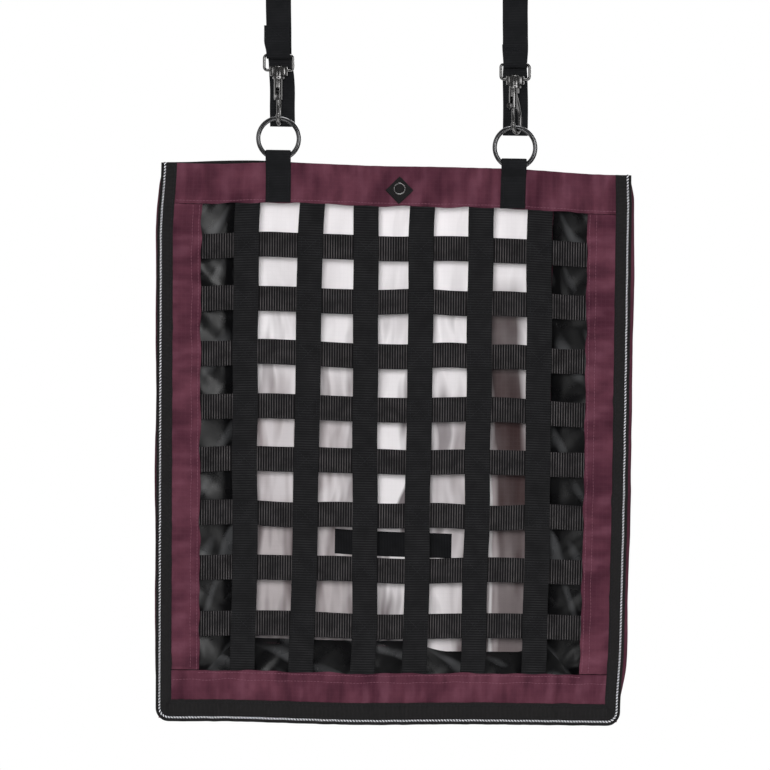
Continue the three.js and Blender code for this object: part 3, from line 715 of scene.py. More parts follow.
# ---- Net straps ----
RIB_PITCH = 2.5
NET_TUCK = 12.0
SECTION = np.array([-12.5, -12.25, -11.6, -10.2, -5.0, 0.0, 5.0, 10.2, 11.6, 12.25, 12.5])
SECTION_WEIGHT = np.array([0.3, 0.72, 1, 1, 1, 1, 1, 1, 1, 0.72, 0.3])
ACROSS_RIB = np.array([0, 0.5, 1, 1, 1, 1, 1, 1, 1, 0.5, 0]) * 0.19
DOWN_RIB = np.array([0, 0, 0, 0.5, 1, 1, 1, 0.5, 0, 0, 0]) * 0.09
VERTICAL_X = [-146.65, -85.35, -27.05, 26.25, 85.05, 144.85]
VERTICAL_LEAN = [0.0, 2.7, -1.1, 0.9, 0.9, -0.7]      # at the top, and as much the other way at the foot
HORIZONTAL_WANDER = [0, 0, 0, 0, -1.5, -1, -0.5, 1.8]
HORIZONTAL_S = [81.8 + 53.6 * i + w for i, w in enumerate(HORIZONTAL_WANDER)]


def down_strap_x(i, s):
    return VERTICAL_X[i] + VERTICAL_LEAN[i] * (HEIGHT / 2 - s) / 215 + 0.75 * Ripple(100 + i, 170, 4)(s)


def across_strap_s(i, x):
    return HORIZONTAL_S[i] + 0.95 * Ripple(140 + i, 120, 5)(x)


def ribs(along):
    return np.sin(2 * np.pi * along / RIB_PITCH)


down = np.arange(TOP_BAND - NET_TUCK, LOW_EDGE + NET_TUCK, RIB_PITCH / 4)
S, U = np.meshgrid(down, SECTION, indexing="ij")
up = 0.6 * SECTION_WEIGHT + DOWN_RIB * ribs(S)
for i in range(6):
    X = down_strap_x(i, S) + U
    obj = two_sided(f"net_down_{i + 1}", front(X, S, VERTICAL_Y - up), front(X, S, VERTICAL_Y + up),
                    (U + 30 * i, S), [NET_V], sharp=60)
    finish_piece(obj, "bag_front", "webbing", f"net_vertical_{i + 1}")

across = np.arange(-INNER - NET_TUCK, INNER + NET_TUCK, RIB_PITCH / 4)
X, U = np.meshgrid(across, SECTION, indexing="ij")
up = 0.58 * SECTION_WEIGHT + ACROSS_RIB * ribs(X)
for i in range(8):
    S = across_strap_s(i, X) + U
    obj = two_sided(f"net_across_{i + 1}", front(X, S, HORIZONTAL_Y - up), front(X, S, HORIZONTAL_Y + up),
                    (U + 30 * i + 300, X), [NET_H], sharp=60)
    finish_piece(obj, "bag_front", "webbing", f"net_horizontal_{i + 1}")

# A sewn box with a cross in it holds each crossing.
BOX = 9.0
LOW_LEFT, LOW_RIGHT, HIGH_RIGHT, HIGH_LEFT = (-BOX, -BOX), (BOX, -BOX), (BOX, BOX), (-BOX, BOX)
rows = []
for i in range(6):
    for j in range(8):
        s0 = across_strap_s(j, VERTICAL_X[i])
        for line in ([LOW_LEFT, LOW_RIGHT, HIGH_RIGHT, HIGH_LEFT, LOW_LEFT], [LOW_LEFT, HIGH_RIGHT],
                     [LOW_RIGHT, HIGH_LEFT]):
            x, s = resample(line, 3)[0].T
            rows.append(front(down_strap_x(i, s0 + s) + x, s0 + s, VERTICAL_Y - 0.66))
stitches("net_stitches", rows, BLACK_THREAD, "bag_front", "webbing", pitch=3.6, length=2.6, radius=0.2,
         lift=0.06)


# ---- Bindings: tape folded round an edge and mitred at the corners ----
def border_rows(q, foot_scale, side_step, arc_steps=9):
    """Grid rows for border columns q in from the edge: left side, corner, foot, corner, right side."""
    q = np.asarray(q, float)
    low = HEIGHT - q * foot_scale
    r = np.maximum(CORNER - q, 0.3)
    side = np.linspace(0, 1, int(HEIGHT / side_step), endpoint=False)[:, None]
    turn = np.linspace(0, math.pi / 2, arc_steps + 1)[:, None]
    half = np.concatenate([-HALF + q + 0 * side, -HALF + q + r - r * np.cos(turn)])
    down = np.concatenate([side * (low - r), low - r + r * np.sin(turn)])
    foot = np.linspace(0, 1, int(2 * HALF / side_step) + 1)[1:-1, None]
    X = np.concatenate([half, (-HALF + q + r) * (1 - 2 * foot), -half[::-1]])
    S = np.concatenate([down, low + 0 * foot, down[::-1]])
    return X, S, run_along(np.column_stack([X[:, 0], S[:, 0]]))


def edge_binding(panel, place, leg_y, wall_y, outward):
    """outward is -1 for the front, whose leg faces -Y, and +1 for the back."""
    q = np.array([-0.4, -1.1, -1.1, -0.8, -0.2, 0.8, 2.2, 4, 6, 8.5, 10.5, 12.4, 13.8, BINDING])
    d = np.array([abs(wall_y - leg_y), 4.5, 2.2, 1.2, 0.62, 0.28, 0.08, 0.02, 0, 0, 0, 0, 0, 0])
    X, S, dist = border_rows(q, BOTTOM_BINDING / BINDING, 4.0)
    # the sewn leg's inner edge wanders
    wander = (0.8 * Ripple(64, 52, 6)(dist)[:, None] * np.clip(q / BINDING, 0, 1) ** 2
              / (q - q[-1] + 1e-6))
    X, S = X + wander * (X - X[:, -1:]), S + wander * (S - S[:, -1:])
    wave = 0.16 * Ripple(60, 23, 6)(dist)[:, None] * smooth(np.maximum(q, 0) / 6)
    mid = place(X, S, leg_y + outward * (wave - d))
    weight = np.ones(len(q))
    weight[-2:] = 0.8, 0.3
    obj = shell(f"{panel}_binding", mid, (run_along(np.column_stack([q, d])), dist[:, None]), 1.1, [TAPE],
                weight=weight)
    finish_piece(obj, f"bag_{panel}", "black_tape",
                 *(f"{panel}_binding_{where}" for where in ("left", "right", "bottom")))


edge_binding("front", front, BINDING_Y, FRONT_SEAM_Y - 0.5, -1)
edge_binding("back", back, BACK_BINDING_Y, REAR_SEAM_Y + 0.5, 1)

X, S, _ = border_rows([12.2], BOTTOM_BINDING / BINDING, 3.0)
for panel, place, leg_y, outward in (("front", front, BINDING_Y, -1), ("back", back, BACK_BINDING_Y, 1)):
    seam = place(X[:, 0], S[:, 0], leg_y + outward * 0.62)
    stitches(f"{panel}_binding_stitches", [seam], BLACK_THREAD, f"bag_{panel}", "black_tape", outward=outward)

# ---- Piping: two strands twisted round each other ----
X, S, _ = border_rows([PIPING_INSET], 1.0, 6.0, 7)
TWIST_PITCH = 3.0
line, run = resample(front(X[:, 0], S[:, 0], PIPING_Y + 0.35), TWIST_PITCH / 6)
_, na, nb = frames(line)
twist = 2 * np.pi * run / TWIST_PITCH
for name, look, angle in (("silver", CORD, twist), ("black", BLACK_THREAD, twist + math.pi)):
    strand = tube(line + 0.55 * (np.cos(angle)[:, None] * na + np.sin(angle)[:, None] * nb), 0.62, sides=6)
    finish_piece(mesh_object(f"front_piping_{name}", *strand, [look], sharp=70),
                 "bag_front", "piping_cord", "front_piping")


# ---- Hem stitching on the front bands ----
def front_line(x0, s0, x1, s1, wander, seed):
    """A straight seam on the face of the bands, which wanders a little."""
    x, s = np.linspace(x0, x1, 160), np.linspace(s0, s1, 160)
    ripple = Ripple(seed, 40, 5)
    if s0 == s1:
        return front(x, s + wander * ripple(x), BAND_Y - 0.72)
    return front(x + wander * ripple(s), s, BAND_Y - 0.72)


reach = HALF - BINDING
hems = [
    front_line(-reach, TOP_BAND - 3, reach, TOP_BAND - 3, 0.25, 71),
    front_line(-INNER - 2, LOW_EDGE + 2.6, INNER + 2, LOW_EDGE + 2.6, 0.25, 72),
    front_line(-reach, LOW_EDGE + 9.5, reach, LOW_EDGE + 9.5, 0.7, 73),
    front_line(-INNER - 2.6, SIDE_TOP, -INNER - 2.6, SIDE_LOW, 0.25, 74),
    front_line(INNER + 2.6, SIDE_TOP, INNER + 2.6, SIDE_LOW, 0.25, 75),
    front_line(-INNER - 9, SIDE_TOP, -INNER - 9, SIDE_LOW, 0.4, 76),
    front_line(INNER + 9, SIDE_TOP, INNER + 9, SIDE_LOW, 0.4, 77),
]
stitches("hem_stitches", hems, PINK_THREAD, "bag_front", "burgundy_cloth", pitch=3.4, length=2.7, radius=0.26)


# ---- Badge: a plain black diamond with an eyelet ----
BADGE_X, BADGE_S, BADGE_HALF = 3.5, 24.0, 14.0
t = edge_samples(-1, 1, 0.09, 0.05)
A, B = np.meshgrid(t, t, indexing="ij")
X = BADGE_X + BADGE_HALF * (A + B) / 2
S = BADGE_S + BADGE_HALF * (A - B) / 2
half = 0.55 * edge_weight(A, -1, 1, 0.05) * edge_weight(B, -1, 1, 0.05)
dome = 0.25 * (1 - A ** 2) * (1 - B ** 2)
badge = two_sided("badge", front(X, S, BINDING_Y - half - dome), front(X, S, BINDING_Y + half),
                  (A * 10, B * 10), [TAPE])
finish_piece(badge, "bag_front", "black_tape", "badge_patch")
edge = 0.86 * BADGE_HALF
x, s = resample([(edge, 0), (0, edge), (-edge, 0), (0, -edge), (edge, 0)], 1.5)[0].T
rim = front(BADGE_X + x, BADGE_S + s, BINDING_Y - 0.62)
stitches("badge_stitches", [rim], BLACK_THREAD, "bag_front", "black_tape", pitch=1.5, length=1.3, radius=0.26)
EYELET_RADIUS = 5.4
cos, sin = circle(64)
wire = front(BADGE_X + EYELET_RADIUS * cos, BADGE_S - 1.5 + EYELET_RADIUS * sin, BINDING_Y - 1.25)
finish_piece(mesh_object("badge_ring", *tube(wire, 0.75, closed=True), [BRIGHT_NICKEL]),
             "bag_front", "bright_nickel", "badge_eyelet")

# ---- Back: panel, lining, bindings, inner tape ----
a = edge_samples(-CLOTH_HALF, CLOTH_HALF, 5.0)
b = edge_samples(-4.2, CLOTH_BOTTOM, 5.0)
back_panel = slab("back_cloth", back, a, b, BACK_Y, 1.3, BURGUNDY_WIDE)
finish_piece(back_panel, "bag_back", "burgundy_cloth", "back_panel")


def lining_fold(x, s):
    """How far the lining stands forward off the back."""
    inner = smooth((164 - np.abs(x)) / 60) * smooth((s - 4) / 60) * smooth((CLOTH_BOTTOM - 72 - s) / 60)
    low = smooth((s - 240) / 140)
    folds = ((3.4 + 2.2 * low) * (0.5 + 0.5 * LINING_FOLD(x + 0.10 * s))
             + (1.0 + 1.2 * low) * (0.5 + 0.5 * LINING_FINE(x - 0.06 * s)))
    ridge = 5.0 * bump_at(x - 0.03 * s, 108, 9) * smooth((s - 120) / 90)
    return inner * np.clip(folds + ridge, 0, 9)


def lining(x, s, y):
    p = back(x, s, y)
    p[..., 1] -= lining_fold(x, s)
    return p


a = edge_samples(-CLOTH_HALF, CLOTH_HALF, 3.0)
lining_piece = slab("lining_cloth", lining, a, b, LINING_Y, 0.8, LINING)
finish_piece(lining_piece, "bag_back", "silver_lining", "back_lining")

A, B = np.meshgrid(np.arange(-57, 61.1, 1.0), SECTION, indexing="ij")
tilted = 378.5 + 0.035 * (A - 2) + B
up = 0.5 * SECTION_WEIGHT
inner_tape = two_sided("inner_tape_strip", lining(A, tilted, INNER_TAPE_Y - up),
                       lining(A, tilted, INNER_TAPE_Y + up), (B + 700, A), [STRAP_WEB])
finish_piece(inner_tape, "bag_back", "webbing", "inner_tape")

# The top binding wraps the back's upper edge: (depth, down) from its front leg over to its rear one.
fore, aft = 55.0, BACK_BINDING_Y + 0.4
wrap = np.array([(fore, 12), (fore, 8), (fore, 3), (fore, -1), (fore, -3.6), (fore + 0.35, -4.7),
                 (fore + 1.2, -5.3), (57.5, -5.3), (aft - 1.2, -5.3), (aft - 0.35, -4.8), (aft, -3.6),
                 (aft, -1), (aft, 3), (aft, 8), (aft, 12)])
x = np.linspace(0.9 - HALF, HALF - 0.9, 150)
X, down = np.meshgrid(x, wrap[:, 1], indexing="ij")
mid = back(X, down, wrap[:, 0] + 0.12 * Ripple(66, 30, 5)(X))
weight = np.ones(len(wrap))
weight[[0, -1]] = 0.3
top_binding = shell("back_top_trim", mid, (run_along(wrap), X), 1.0, [TAPE], weight=weight)
finish_piece(top_binding, "bag_back", "black_tape", "back_top_binding")
rear_row = back(x, 9.5, BACK_BINDING_Y + 0.95)
stitches("back_top_stitches", [rear_row], BLACK_THREAD, "bag_back", "black_tape", outward=1)

# ---- Gusset halves ----
SEAM = 2.0
MITRE_LAP = 0.31                      # spare cloth of a side half behind the bottom one, for the open bag
# which way each half folds, its panel, and its reach: the front half's crease lies over the rear half's
HALVES = {"front": (1, front, FRONT_SEAM_Y, "bag_front", 80.5),
          "rear": (-1, back, REAR_SEAM_Y, "bag_back", 75.9)}
FOLD = math.asin(20 / 76)
SIDE_ROWS, BOTTOM_ROWS = 170, 150
GUSSET_BULGE = np.array([(-1.4, 0.05), (0.2, 0.1), (2.6, 0.25), (5.2, 0.9), (7.2, 2.1), (7.9, 3.6),
                         (6.9, 5.1), (4.2, 6.1), (0.6, 6.6), (-4.0, 7.0)])


def gusset_section(bulge, reach):
    """(out, back) pairs from the seam, round the bulge and in to the crease; bulge 0 to 1."""
    head = GUSSET_BULGE.copy()
    head[:, 0] = np.where(head[:, 0] > 0, head[:, 0] * bulge, head[:, 0])
    head[:, 1] *= 0.35 + 0.65 * bulge
    tip = np.array([-reach * math.cos(FOLD), reach * math.sin(FOLD)])
    k = np.linspace(0, 1, 26)[1:, None]
    tail = head[-1] * (1 - k) + tip * k
    return np.concatenate([head, tail])


def gusset_wrinkle(r, along, seed, reach):
    """Crumpling of the slack cloth, zero at the seam and at the crease."""
    slack = smooth((r - 6) / 16) * np.clip((reach - 4 - r) / 34, 0, 1)
    one = Ripple(seed, 62, 6)(along + 0.55 * r)
    two = Ripple(seed + 1, 30, 6)(along * 0.8 - 0.8 * r)
    return -slack * np.clip(1.0 + 1.5 * one + 0.8 * two, -0.4, 4.5)


def corner_pull(along, end, inward):
    """How far the bag's rounded corner draws the cloth in; inward is the distance from the seam."""
    corner = np.clip((along - (end - SEAM - CORNER)) / CORNER, 0, 1)
    return CORNER * (1 - np.sqrt(1 - corner ** 2)) * smooth((CORNER - inward) / CORNER)


def anchor(place, x, s, y, inward):
    """Follows the bag's outline; the waves of the bag's cloth fade out inwards."""
    p = place(x, s, y)
    p[..., 1] -= place(x, s, 0.0)[..., 1] * smooth(inward / 16)
    return p


def gusset_sheet(where, half, mid, seg, along, way):
    """The cloth turns from the panel it is sewn to into the folding half, between start and end."""
    mid, along = np.array(mid)[:, ::way], np.array(along)[:, ::way]
    obj = shell(f"gusset_cloth_{where}_{half}", mid, (seg[::way], along), 0.6, [COATED, BURGUNDY_WIDE])
    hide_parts(f"gusset_{where}_{half}")
    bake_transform(obj)


def side_gusset(side, half, seed, fullness):
    sign = SIDES[side]
    facing, place, seam_y, _, reach = HALVES[half]
    seg = run_along(gusset_section(1.0, reach))
    mid, along = [], []
    for f in np.arange(SIDE_ROWS) / (SIDE_ROWS - 1):
        bulge = fullness * (0.25 + 0.75 * smooth((1 - f) / 0.10)) * (0.45 + 0.55 * smooth((f * 550 + 2) / 22))
        out, deep = gusset_section(bulge * (1 + 0.10 * Ripple(seed + 5, 130, 4)(f * 550)), reach).T
        inward = np.maximum(-out, 0)
        low = HEIGHT - SEAM - 0.4 - inward * (1 - MITRE_LAP)
        high = 1 + 5 * (np.maximum(out, 0) / 7.9) ** 2
        s = high + f * (low - high)
        x = sign * (HALF - SEAM + out - corner_pull(s, HEIGHT, inward))
        y = seam_y + facing * (deep + gusset_wrinkle(inward, s, seed, reach))
        mid.append(anchor(place, x, s, y, inward))
        along.append(s)
    gusset_sheet(side, half, mid, seg, along, -sign * facing)


def bottom_gusset(half, seed):
    facing, place, seam_y, _, reach = HALVES[half]
    section = gusset_section(0.28, reach)
    out, deep = section.T
    seg = run_along(section)
    inward = np.maximum(-out, 0)
    mid, along = [], []
    for f in -1 + 2 * np.arange(BOTTOM_ROWS) / (BOTTOM_ROWS - 1):
        x = f * (HALF - SEAM - 0.4 - inward)
        sag = 1 - 0.14 * smooth((x - 10) / 50) * smooth((1 - f) / 0.16) * smooth((inward - 8) / 50)
        s = HEIGHT - SEAM + out * sag - corner_pull(np.abs(x), HALF, inward)
        y = seam_y + facing * (deep + gusset_wrinkle(inward, x, seed, reach))
        mid.append(anchor(place, x, s, y, inward))
        along.append(x)
    gusset_sheet("bottom", half, mid, seg, along, facing)


side_gusset("left", "front", 201, 0.62)
side_gusset("right", "front", 211, 0.9)
side_gusset("left", "rear", 221, 0.62)
side_gusset("right", "rear", 231, 0.9)
bottom_gusset("front", 241)
bottom_gusset("rear", 251)


# ---- Ribbons that bend in the YZ plane: hanging straps and ring loops ----
def bent_strap(name, path, x_mid, body, node, seed, drift=0.0, side=None):
    """path is a list of (y, z) in mm; drift moves its end sideways; side is given for a hanging strap."""
    thick, rib = 1.4, 0.05
    p = softened(path, 0.8, 3.0)
    run = run_along(p)
    t = np.gradient(p, axis=0)
    t /= np.linalg.norm(t, axis=1, keepdims=True)
    rise = rib * np.sin(2 * np.pi * run / 1.6)[:, None] * (np.abs(SECTION) < 11)
    up = (thick / 2 - rib) * SECTION_WEIGHT + rise
    sway = 0.3 * Ripple(seed, 90, 4)(run) + drift * smooth((run - run[-1] + 88) / 60)
    if side:
        sway = sway + hanger_x(side, p[:, 1]) + SEWN_SHIFT[side] * smooth((27 - run) / 12)
    gathered = 1 - 0.06 * bump_at(p[:, 1], BAG_TOP + 104, 9) if side else np.ones(len(p))
    x = x_mid + sway[:, None] + SECTION * gathered[:, None]
    layers = [np.stack([x, p[:, :1] - lift * t[:, 1:], p[:, 1:] + lift * t[:, :1]], -1) for lift in (up, -up)]
    obj = two_sided(name, *layers, (SECTION + seed, run[:, None]), [STRAP_WEB], sharp=60)
    finish_piece(obj, body, "webbing", node)


def arc_points(cy, cz, r, start, stop, steps):
    a = np.radians(np.linspace(start, stop, steps + 1))
    return [(cy + r * math.cos(k), cz + r * math.sin(k)) for k in a]


STRAP_Y = -3.35
TAIL_Y = -0.75
HALF_WEB = 0.75          # from the middle of the webbing to what it lies on
EYE_TOP = 106.5          # heights above the bag's top edge
EYE_WIRE = 1.45
RAIL_LOOP = 14.75
LOOP_FOOT = 203
RING_HEIGHT, RING_RADIUS, RING_WIRE = 22.3, 20.2, 2.3
HANG_DROP = {"left": 2.8, "right": -2.8}        # one hanger sits a little higher than the other


def hanger_z(side, z):
    """The strap is a little longer on one side, which moves everything below the rail."""
    z = np.asarray(z, float)
    return z + HANG_DROP[side] * smooth(-z / 60.0)


def hanger_x(side, z):
    """Each hanger leans a little, from just above the view down to the bag."""
    z = np.asarray(z, float)
    return (0.8 if side == "left" else 0.5) * smooth((-z - 60) / 40) + 0.0133 * np.clip(-z - 95, 0, None)


SEWN_END = {"left": 134, "right": 124}
SEWN_SHIFT = {"left": -1.8, "right": -0.7}      # the sewn end lies a little askew on the strap


def strap_path(side):
    bar = EYE_TOP - EYE_WIRE
    fold = -STRAP_Y
    loop_y = (STRAP_Y + TAIL_Y) / 2
    loop_z = -BAG_TOP - HALF_WEB - RAIL_LOOP
    tangent = math.degrees(math.asin(RAIL_LOOP / (loop_z - LOOP_FOOT)))
    sewn = STRAP_Y - 1.8
    return ([(sewn, SEWN_END[side]), (sewn, 117), (-fold, bar + 2)] + arc_points(0, bar, fold, 180, 360, 14)
            + [(fold, bar + 2), (STRAP_Y, 118), (STRAP_Y, LOOP_FOOT)]
            + arc_points(loop_y, loop_z, RAIL_LOOP, 180 + tangent, -tangent, 24)
            + [(TAIL_Y, LOOP_FOOT), (TAIL_Y, 142), (14, 98), (14, 35)])


TAIL_DRIFT = {"left": 3.6, "right": 0.8}        # each tail hangs a little to one side
for side, sign in SIDES.items():
    x0 = sign * SPACING / 2
    path = [(y, float(hanger_z(side, z + BAG_TOP))) for y, z in strap_path(side)]
    bent_strap(f"hanging_strap_{side}", path, x0, "straps", f"strap_{side}", 300 + sign,
               drift=TAIL_DRIFT[side], side=side)
    high = SEWN_END[side] - 1.8
    low = high - (14 if side == "left" else 6)
    rows = [[(x0 + x + float(hanger_x(side, z + BAG_TOP)), STRAP_Y - 2.52, float(hanger_z(side, z + BAG_TOP)))
             for x, z in line]
            for line in (((-10, low), (10, low)), ((-10, high), (10, high)), ((-10, low), (-10, high)),
                         ((10, low), (10, high)), ((-10, low), (10, high)), ((-10, high), (10, low)))]
    stitches(f"strap_stitches_{side}", rows, BLACK_THREAD, "straps", "webbing", pitch=2.6, length=2.1)

RING_LOOP_SHIFT = {"left": 1.1, "right": -1.1}
RING_LOOP_X = {"left": 3.8, "right": 2.2}
for side, sign in SIDES.items():
    x0 = sign * SPACING / 2
    local = x0 - BAG_X
    dx, lift = (float(v) for v in outline_shift(np.array(local), np.array(10.0)))
    x0 += dx + RING_LOOP_X[side]
    radius = 3.7 + HALF_WEB
    fold = 11.2 - HALF_WEB - radius + RING_LOOP_SHIFT[side]
    rear_y = 6.2 + HALF_WEB
    front_leg = rear_y - 1.8

    def leg(y, z):
        """The loop's legs follow the waves of the top band."""
        wave = float(front_y(local, max(0.0, -z))) * smooth(-z / 12)
        return (y + float(wave), z + BAG_TOP + lift)

    path = [leg(rear_y, z) for z in np.linspace(-38, -1, 14)]
    path += [leg(y, z) for y, z in arc_points(RING_Y, fold, radius, 0, 180, 16)]
    path += [leg(RING_Y - radius, 0), leg(front_leg - 0.1, -9)]
    path += [leg(front_leg, z) for z in np.linspace(-12, -40, 12)]
    bent_strap(f"ring_loop_web_{side}", path, x0, "bag_front", f"ring_loop_{side}", 310 + sign)
    rows = [[(x0 + x, *leg(front_leg - 0.74, z)) for x, z in zip(np.linspace(xa, xb, 12),
                                                                  np.linspace(za, zb, 12))]
            for xa, xb, za, zb in ((-10, 10, -11, -11), (-10, 10, -14, -14), (-10, 10, -37, -37),
                                   (-10, -10, -14, -37), (10, 10, -14, -37))]
    stitches(f"ring_loop_stitches_{side}", rows, BLACK_THREAD, "bag_front", "webbing", pitch=2.6, length=2.1)


# ---- Metal fittings ----
def arcs(centres, r, sweep, steps):
    """Arcs of one radius run on into each other; centres are (x, y, start angle)."""
    return np.array([(cx + r * math.cos(a), cy + r * math.sin(a)) for cx, cy, start in centres
                     for a in np.radians(np.linspace(start, start + sweep, steps + 1))])


def rounded_box_path(half_w, low, high, r):
    w, low, high = half_w - r, low + r, high - r
    return in_xz(*arcs(((w, high, 0), (-w, high, 90), (-w, low, 180), (w, low, 270)), r, 90, 8).T)


def stadium(half_w, half_d):
    return arcs(((half_w - half_d, 0, -90), (half_d - half_w, 0, 90)), half_d, 180, 10)


def stacked(outlines, heights):
    """A closed solid through horizontal outlines."""
    n = len(outlines[0])
    verts = np.concatenate([np.column_stack([o, np.full(n, z)]) for o, z in zip(outlines, heights)])
    return verts, capped(len(outlines), n)


def barrel_with_slot(x, r_out, r_in, low, high, slot_half):
    """The bolt's housing, open down one side for the thumb knob."""
    gap = math.asin(slot_half / r_out)
    angle = np.linspace(math.pi + gap, 3 * math.pi - gap, 40)
    zs = np.array([low, low + 0.5, low + 2, (low + high) / 2, high - 0.6, high])
    trim = np.array([0.5, 0.1, 0, 0, 0, 0])

    def wall(radii):
        return np.stack([np.stack([x + r * np.cos(angle), r * np.sin(angle), np.full_like(angle, z)], -1)
                         for z, r in zip(zs, radii)])

    return closed_sheet(wall(r_out - trim), wall([r_in] * len(zs)))


SNAP_TURN = {"left": 85.0, "right": 57.0}
BOLT_X = -3.8
HOOK_X = 9.4


def set_down(parts, side, turned):
    """Local millimetres of a hanger to the frame."""
    verts, faces = parts
    v = np.array(verts, float)
    if turned:
        a = math.radians(SNAP_TURN[side])
        c, s = math.cos(a), math.sin(a)
        v = np.column_stack([v[:, 0] * c - v[:, 1] * s, v[:, 0] * s + v[:, 1] * c, v[:, 2]])
    v[:, 0] += SIDES[side] * SPACING / 2
    v[:, 0] += hanger_x(side, v[:, 2] + BAG_TOP)
    v[:, 2] = hanger_z(side, v[:, 2] + BAG_TOP)
    return v, faces


def fitting(name, parts, side, body, node, turned=True, weld=0.0005, look=BRIGHT_NICKEL,
            slot="bright_nickel"):
    obj = mesh_object(f"{name}_{side}", *set_down(parts, side, turned), [look], weld=weld)
    return finish_piece(obj, f"{body}_{side}", slot, f"{node}_{side}")


for side in SIDES:
    eye_path = rounded_box_path(15.8 - EYE_WIRE, EYE_TOP - 18 + EYE_WIRE, EYE_TOP - EYE_WIRE, 3.2)
    block = [stadium(8.3, 3.3), stadium(8.8, 3.8), stadium(9.0, 4.0)]
    boss = stacked(block + block[::-1], [84.3, 84.6, 85.2, 92.6, 93.2, 93.5])
    collar = lathe([(2.4, 84), (5.0, 84), (5.4, 84.4), (5.4, 92.8), (5.0, 93.4), (2.4, 93.4), (2.4, 84)])
    fitting("swivel_eye_frame", joined(tube(eye_path, EYE_WIRE, 16, closed=True), boss, collar), side,
            "eye", "swivel_eye", turned=False, weld=0.001)

    rivet = lathe([(0, 80), (2.0, 80.0), (2.0, 93.6), (3.4, 93.6), (3.3, 94.1), (2.7, 94.6), (1.5, 94.9),
                   (0, 95.0)])
    fitting("rivet", rivet, side, "snap", "swivel_rivet", weld=0.001)

    lower = barrel_with_slot(BOLT_X, 4.2, 2.5, 60, 72.3, 1.6)
    upper = lathe([(2.5, 72.3), (4.2, 72.3), (4.2, 80.4), (3.9, 81.3), (3.2, 81.5), (0, 81.5), (0, 78.5),
                   (2.5, 78.5), (2.5, 72.3)], x=BOLT_X)
    outlines = [stadium(6.1, 4.1)] * 3 + [stadium(5.6, 3.6)]
    neck = stacked([outline + (-1.9, 0) for outline in outlines], [76.0, 77.0, 80.9, 81.5])
    flange = lathe([(0, 81.1), (5.5, 81.1), (6.0, 81.6), (6.0, 83.2), (5.6, 83.7), (0, 83.7)])
    bow = [(-1, 74), (1.6, 70.2), (3.5, 66.5), (5.8, 62.8), (7.6, 59), (8.9, 55), (HOOK_X, 51), (HOOK_X, 47)]
    bow += arc_points((BOLT_X + HOOK_X) / 2, 43.9, (HOOK_X - BOLT_X) / 2, 0, -180, 19) + [(BOLT_X, 45.4)]
    bow = softened(bow, 0.7, 2.4)
    size = np.interp(np.linspace(0, 1, len(bow)), [0, 0.12, 0.3, 0.9, 1], [3.0, 2.7, 2.1, 2.1, 2.3])
    hook = tube(in_xz(*bow.T), size, 20)
    fitting("snap_hook", joined(lower, upper, neck, flange, hook), side, "snap", "snap_body")

    pin = lathe([(0, 46.2), (1.4, 46.2), (1.7, 46.6), (1.7, 60.5), (2.2, 60.6), (2.2, 65.2), (1.9, 65.5),
                 (0, 65.5)], sides=28, x=BOLT_X)
    stem, stem_faces = lathe([(0, 0), (1.3, 0), (1.3, -6), (0, -6)], sides=20, x=BOLT_X, axis="x")
    knob, knob_faces = lathe([(0, -5.6), (2.4, -5.6), (2.9, -6.0), (3.0, -6.6), (3.0, -7.6), (2.7, -8.2),
                              (1.6, -8.5), (0, -8.55)], sides=28, x=BOLT_X, axis="x")
    lift = (0, 0, 63.0)
    fitting("bolt", joined(pin, (stem + lift, stem_faces), (knob + lift, knob_faces)), side,
            "bolt", "snap_bolt")

    turn = np.linspace(0, 6 * 2 * np.pi, 6 * 20 + 1)
    spring_top = 77.8
    coil = np.column_stack([BOLT_X + 1.7 * np.cos(turn), 1.7 * np.sin(turn),
                            np.linspace(66.2, spring_top, len(turn))])
    spring = fitting("spring", tube(coil, 0.35, 8), side, "snap", "snap_spring", weld=0, look=SPRING,
                     slot="spring_steel")
    top = float(hanger_z(side, spring_top + BAG_TOP)) * MM
    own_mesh(spring)

    cos, sin = circle(120)
    ring = tube(in_xz(RING_RADIUS * cos, RING_HEIGHT + RING_RADIUS * sin, RING_Y), RING_WIRE, 22, closed=True)
    fitting("ring_round", ring, side, "ring_body", "ring", turned=False, weld=0, look=DARK_NICKEL,
            slot="dark_nickel")

    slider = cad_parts[f"strap_slider_{side}"]
    for k in range(max(1, len(slider.data.materials))):
        if len(slider.data.materials) <= k:
            slider.data.materials.append(DARK_NICKEL)
        else:
            slider.data.materials[k] = DARK_NICKEL
    bevel = slider.modifiers.new("edges", "BEVEL")
    bevel.width = 0.0006
    bevel.segments = 3
    bevel.limit_method = "ANGLE"
    bevel.harden_normals = True

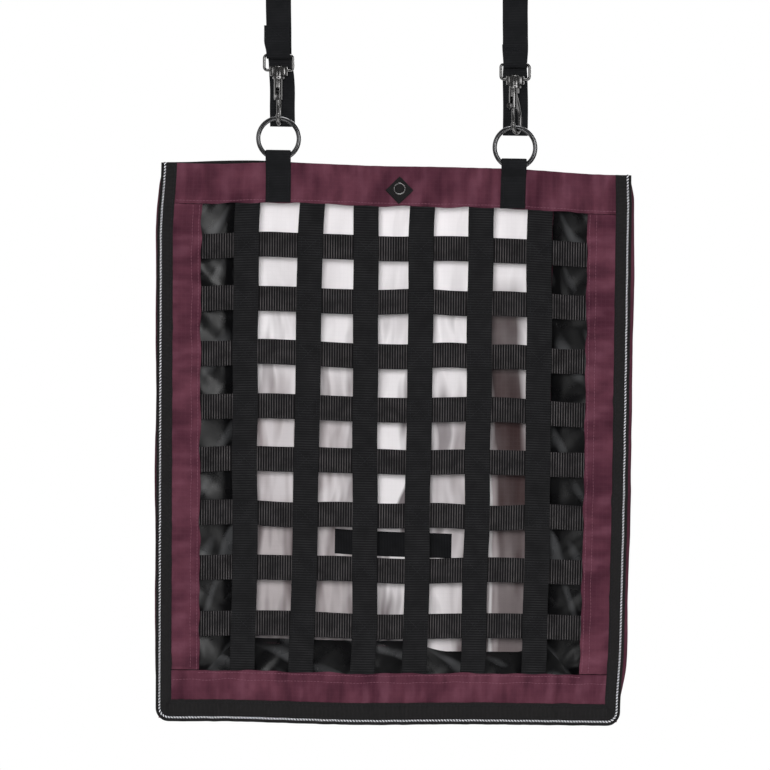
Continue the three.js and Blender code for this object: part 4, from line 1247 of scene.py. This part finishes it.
# ---- Floor and light ----
cos, sin = circle(96)
rings = np.concatenate([np.column_stack([r * cos, r * sin - 350, np.full(96, -950.0)])
                        for r in (300.0, 600.0, 900.0)])
faces = [range(96), *grid_faces(3, 96, wrap_cols=True)]
floor_look = Look("pale_floor", 0.7)
floor_look.color(floor_look.mix(floor_look.place().noise(3, 2), (0.80, 0.80, 0.80, 1), (0.86, 0.86, 0.86, 1)))
floor = mesh_object("floor", rings, faces, [floor_look.m])

world = bpy.data.worlds.new("white")
world.use_nodes = True
sky = Nodes(world.node_tree)
background = sky.t.nodes["Background"]
sky.put(background.inputs["Color"], (1, 1, 1, 1))
# A white sweep behind the object and a dim studio in front of it; seen directly it is plain white.
_, depth, _ = sky.axes(sky.source("ShaderNodeTexCoord", "Generated"))
seen = sky.source("ShaderNodeLightPath", "Is Camera Ray")
sky.put(background.inputs["Strength"], sky.math("MAXIMUM", depth.fit(-0.25, 0.75, 0.06, 0.85), seen))
bpy.context.scene.world = world


def area_light(name, place, aim, size, power, mirrored=True):
    data = bpy.data.lights.new(name, "AREA")
    data.shape = "DISK"
    data.size = size
    data.energy = power
    lamp = bpy.data.objects.new(name, data)
    bpy.context.scene.collection.objects.link(lamp)
    z = np.subtract(place, aim).astype(float)
    z /= np.linalg.norm(z)
    x = np.cross([0, 0, 1], z)
    x /= np.linalg.norm(x)
    lamp.matrix_world = Matrix([*zip(x, np.cross(z, x), z, place), (0, 0, 0, 1)])
    lamp.visible_glossy = mirrored


area_light("key", (-0.14, -2.9, -0.30), (0, 0, -0.5), 0.6, 70, mirrored=False)
area_light("fill", (1.3, -2.5, 0.0), (0, 0, -0.5), 1.3, 13)
area_light("left", (-1.5, -2.4, 0.1), (0, 0, -0.5), 1.3, 6)
area_light("top", (0.1, -0.4, 1.5), (0, 0, -0.4), 1.2, 14)
area_light("behind", (0.6, 2.4, 0.4), (0, 0, -0.5), 1.4, 20)

scene = bpy.context.scene
scene.view_settings.view_transform = "Standard"
scene.view_settings.look = "None"

bpy.context.view_layer.update()
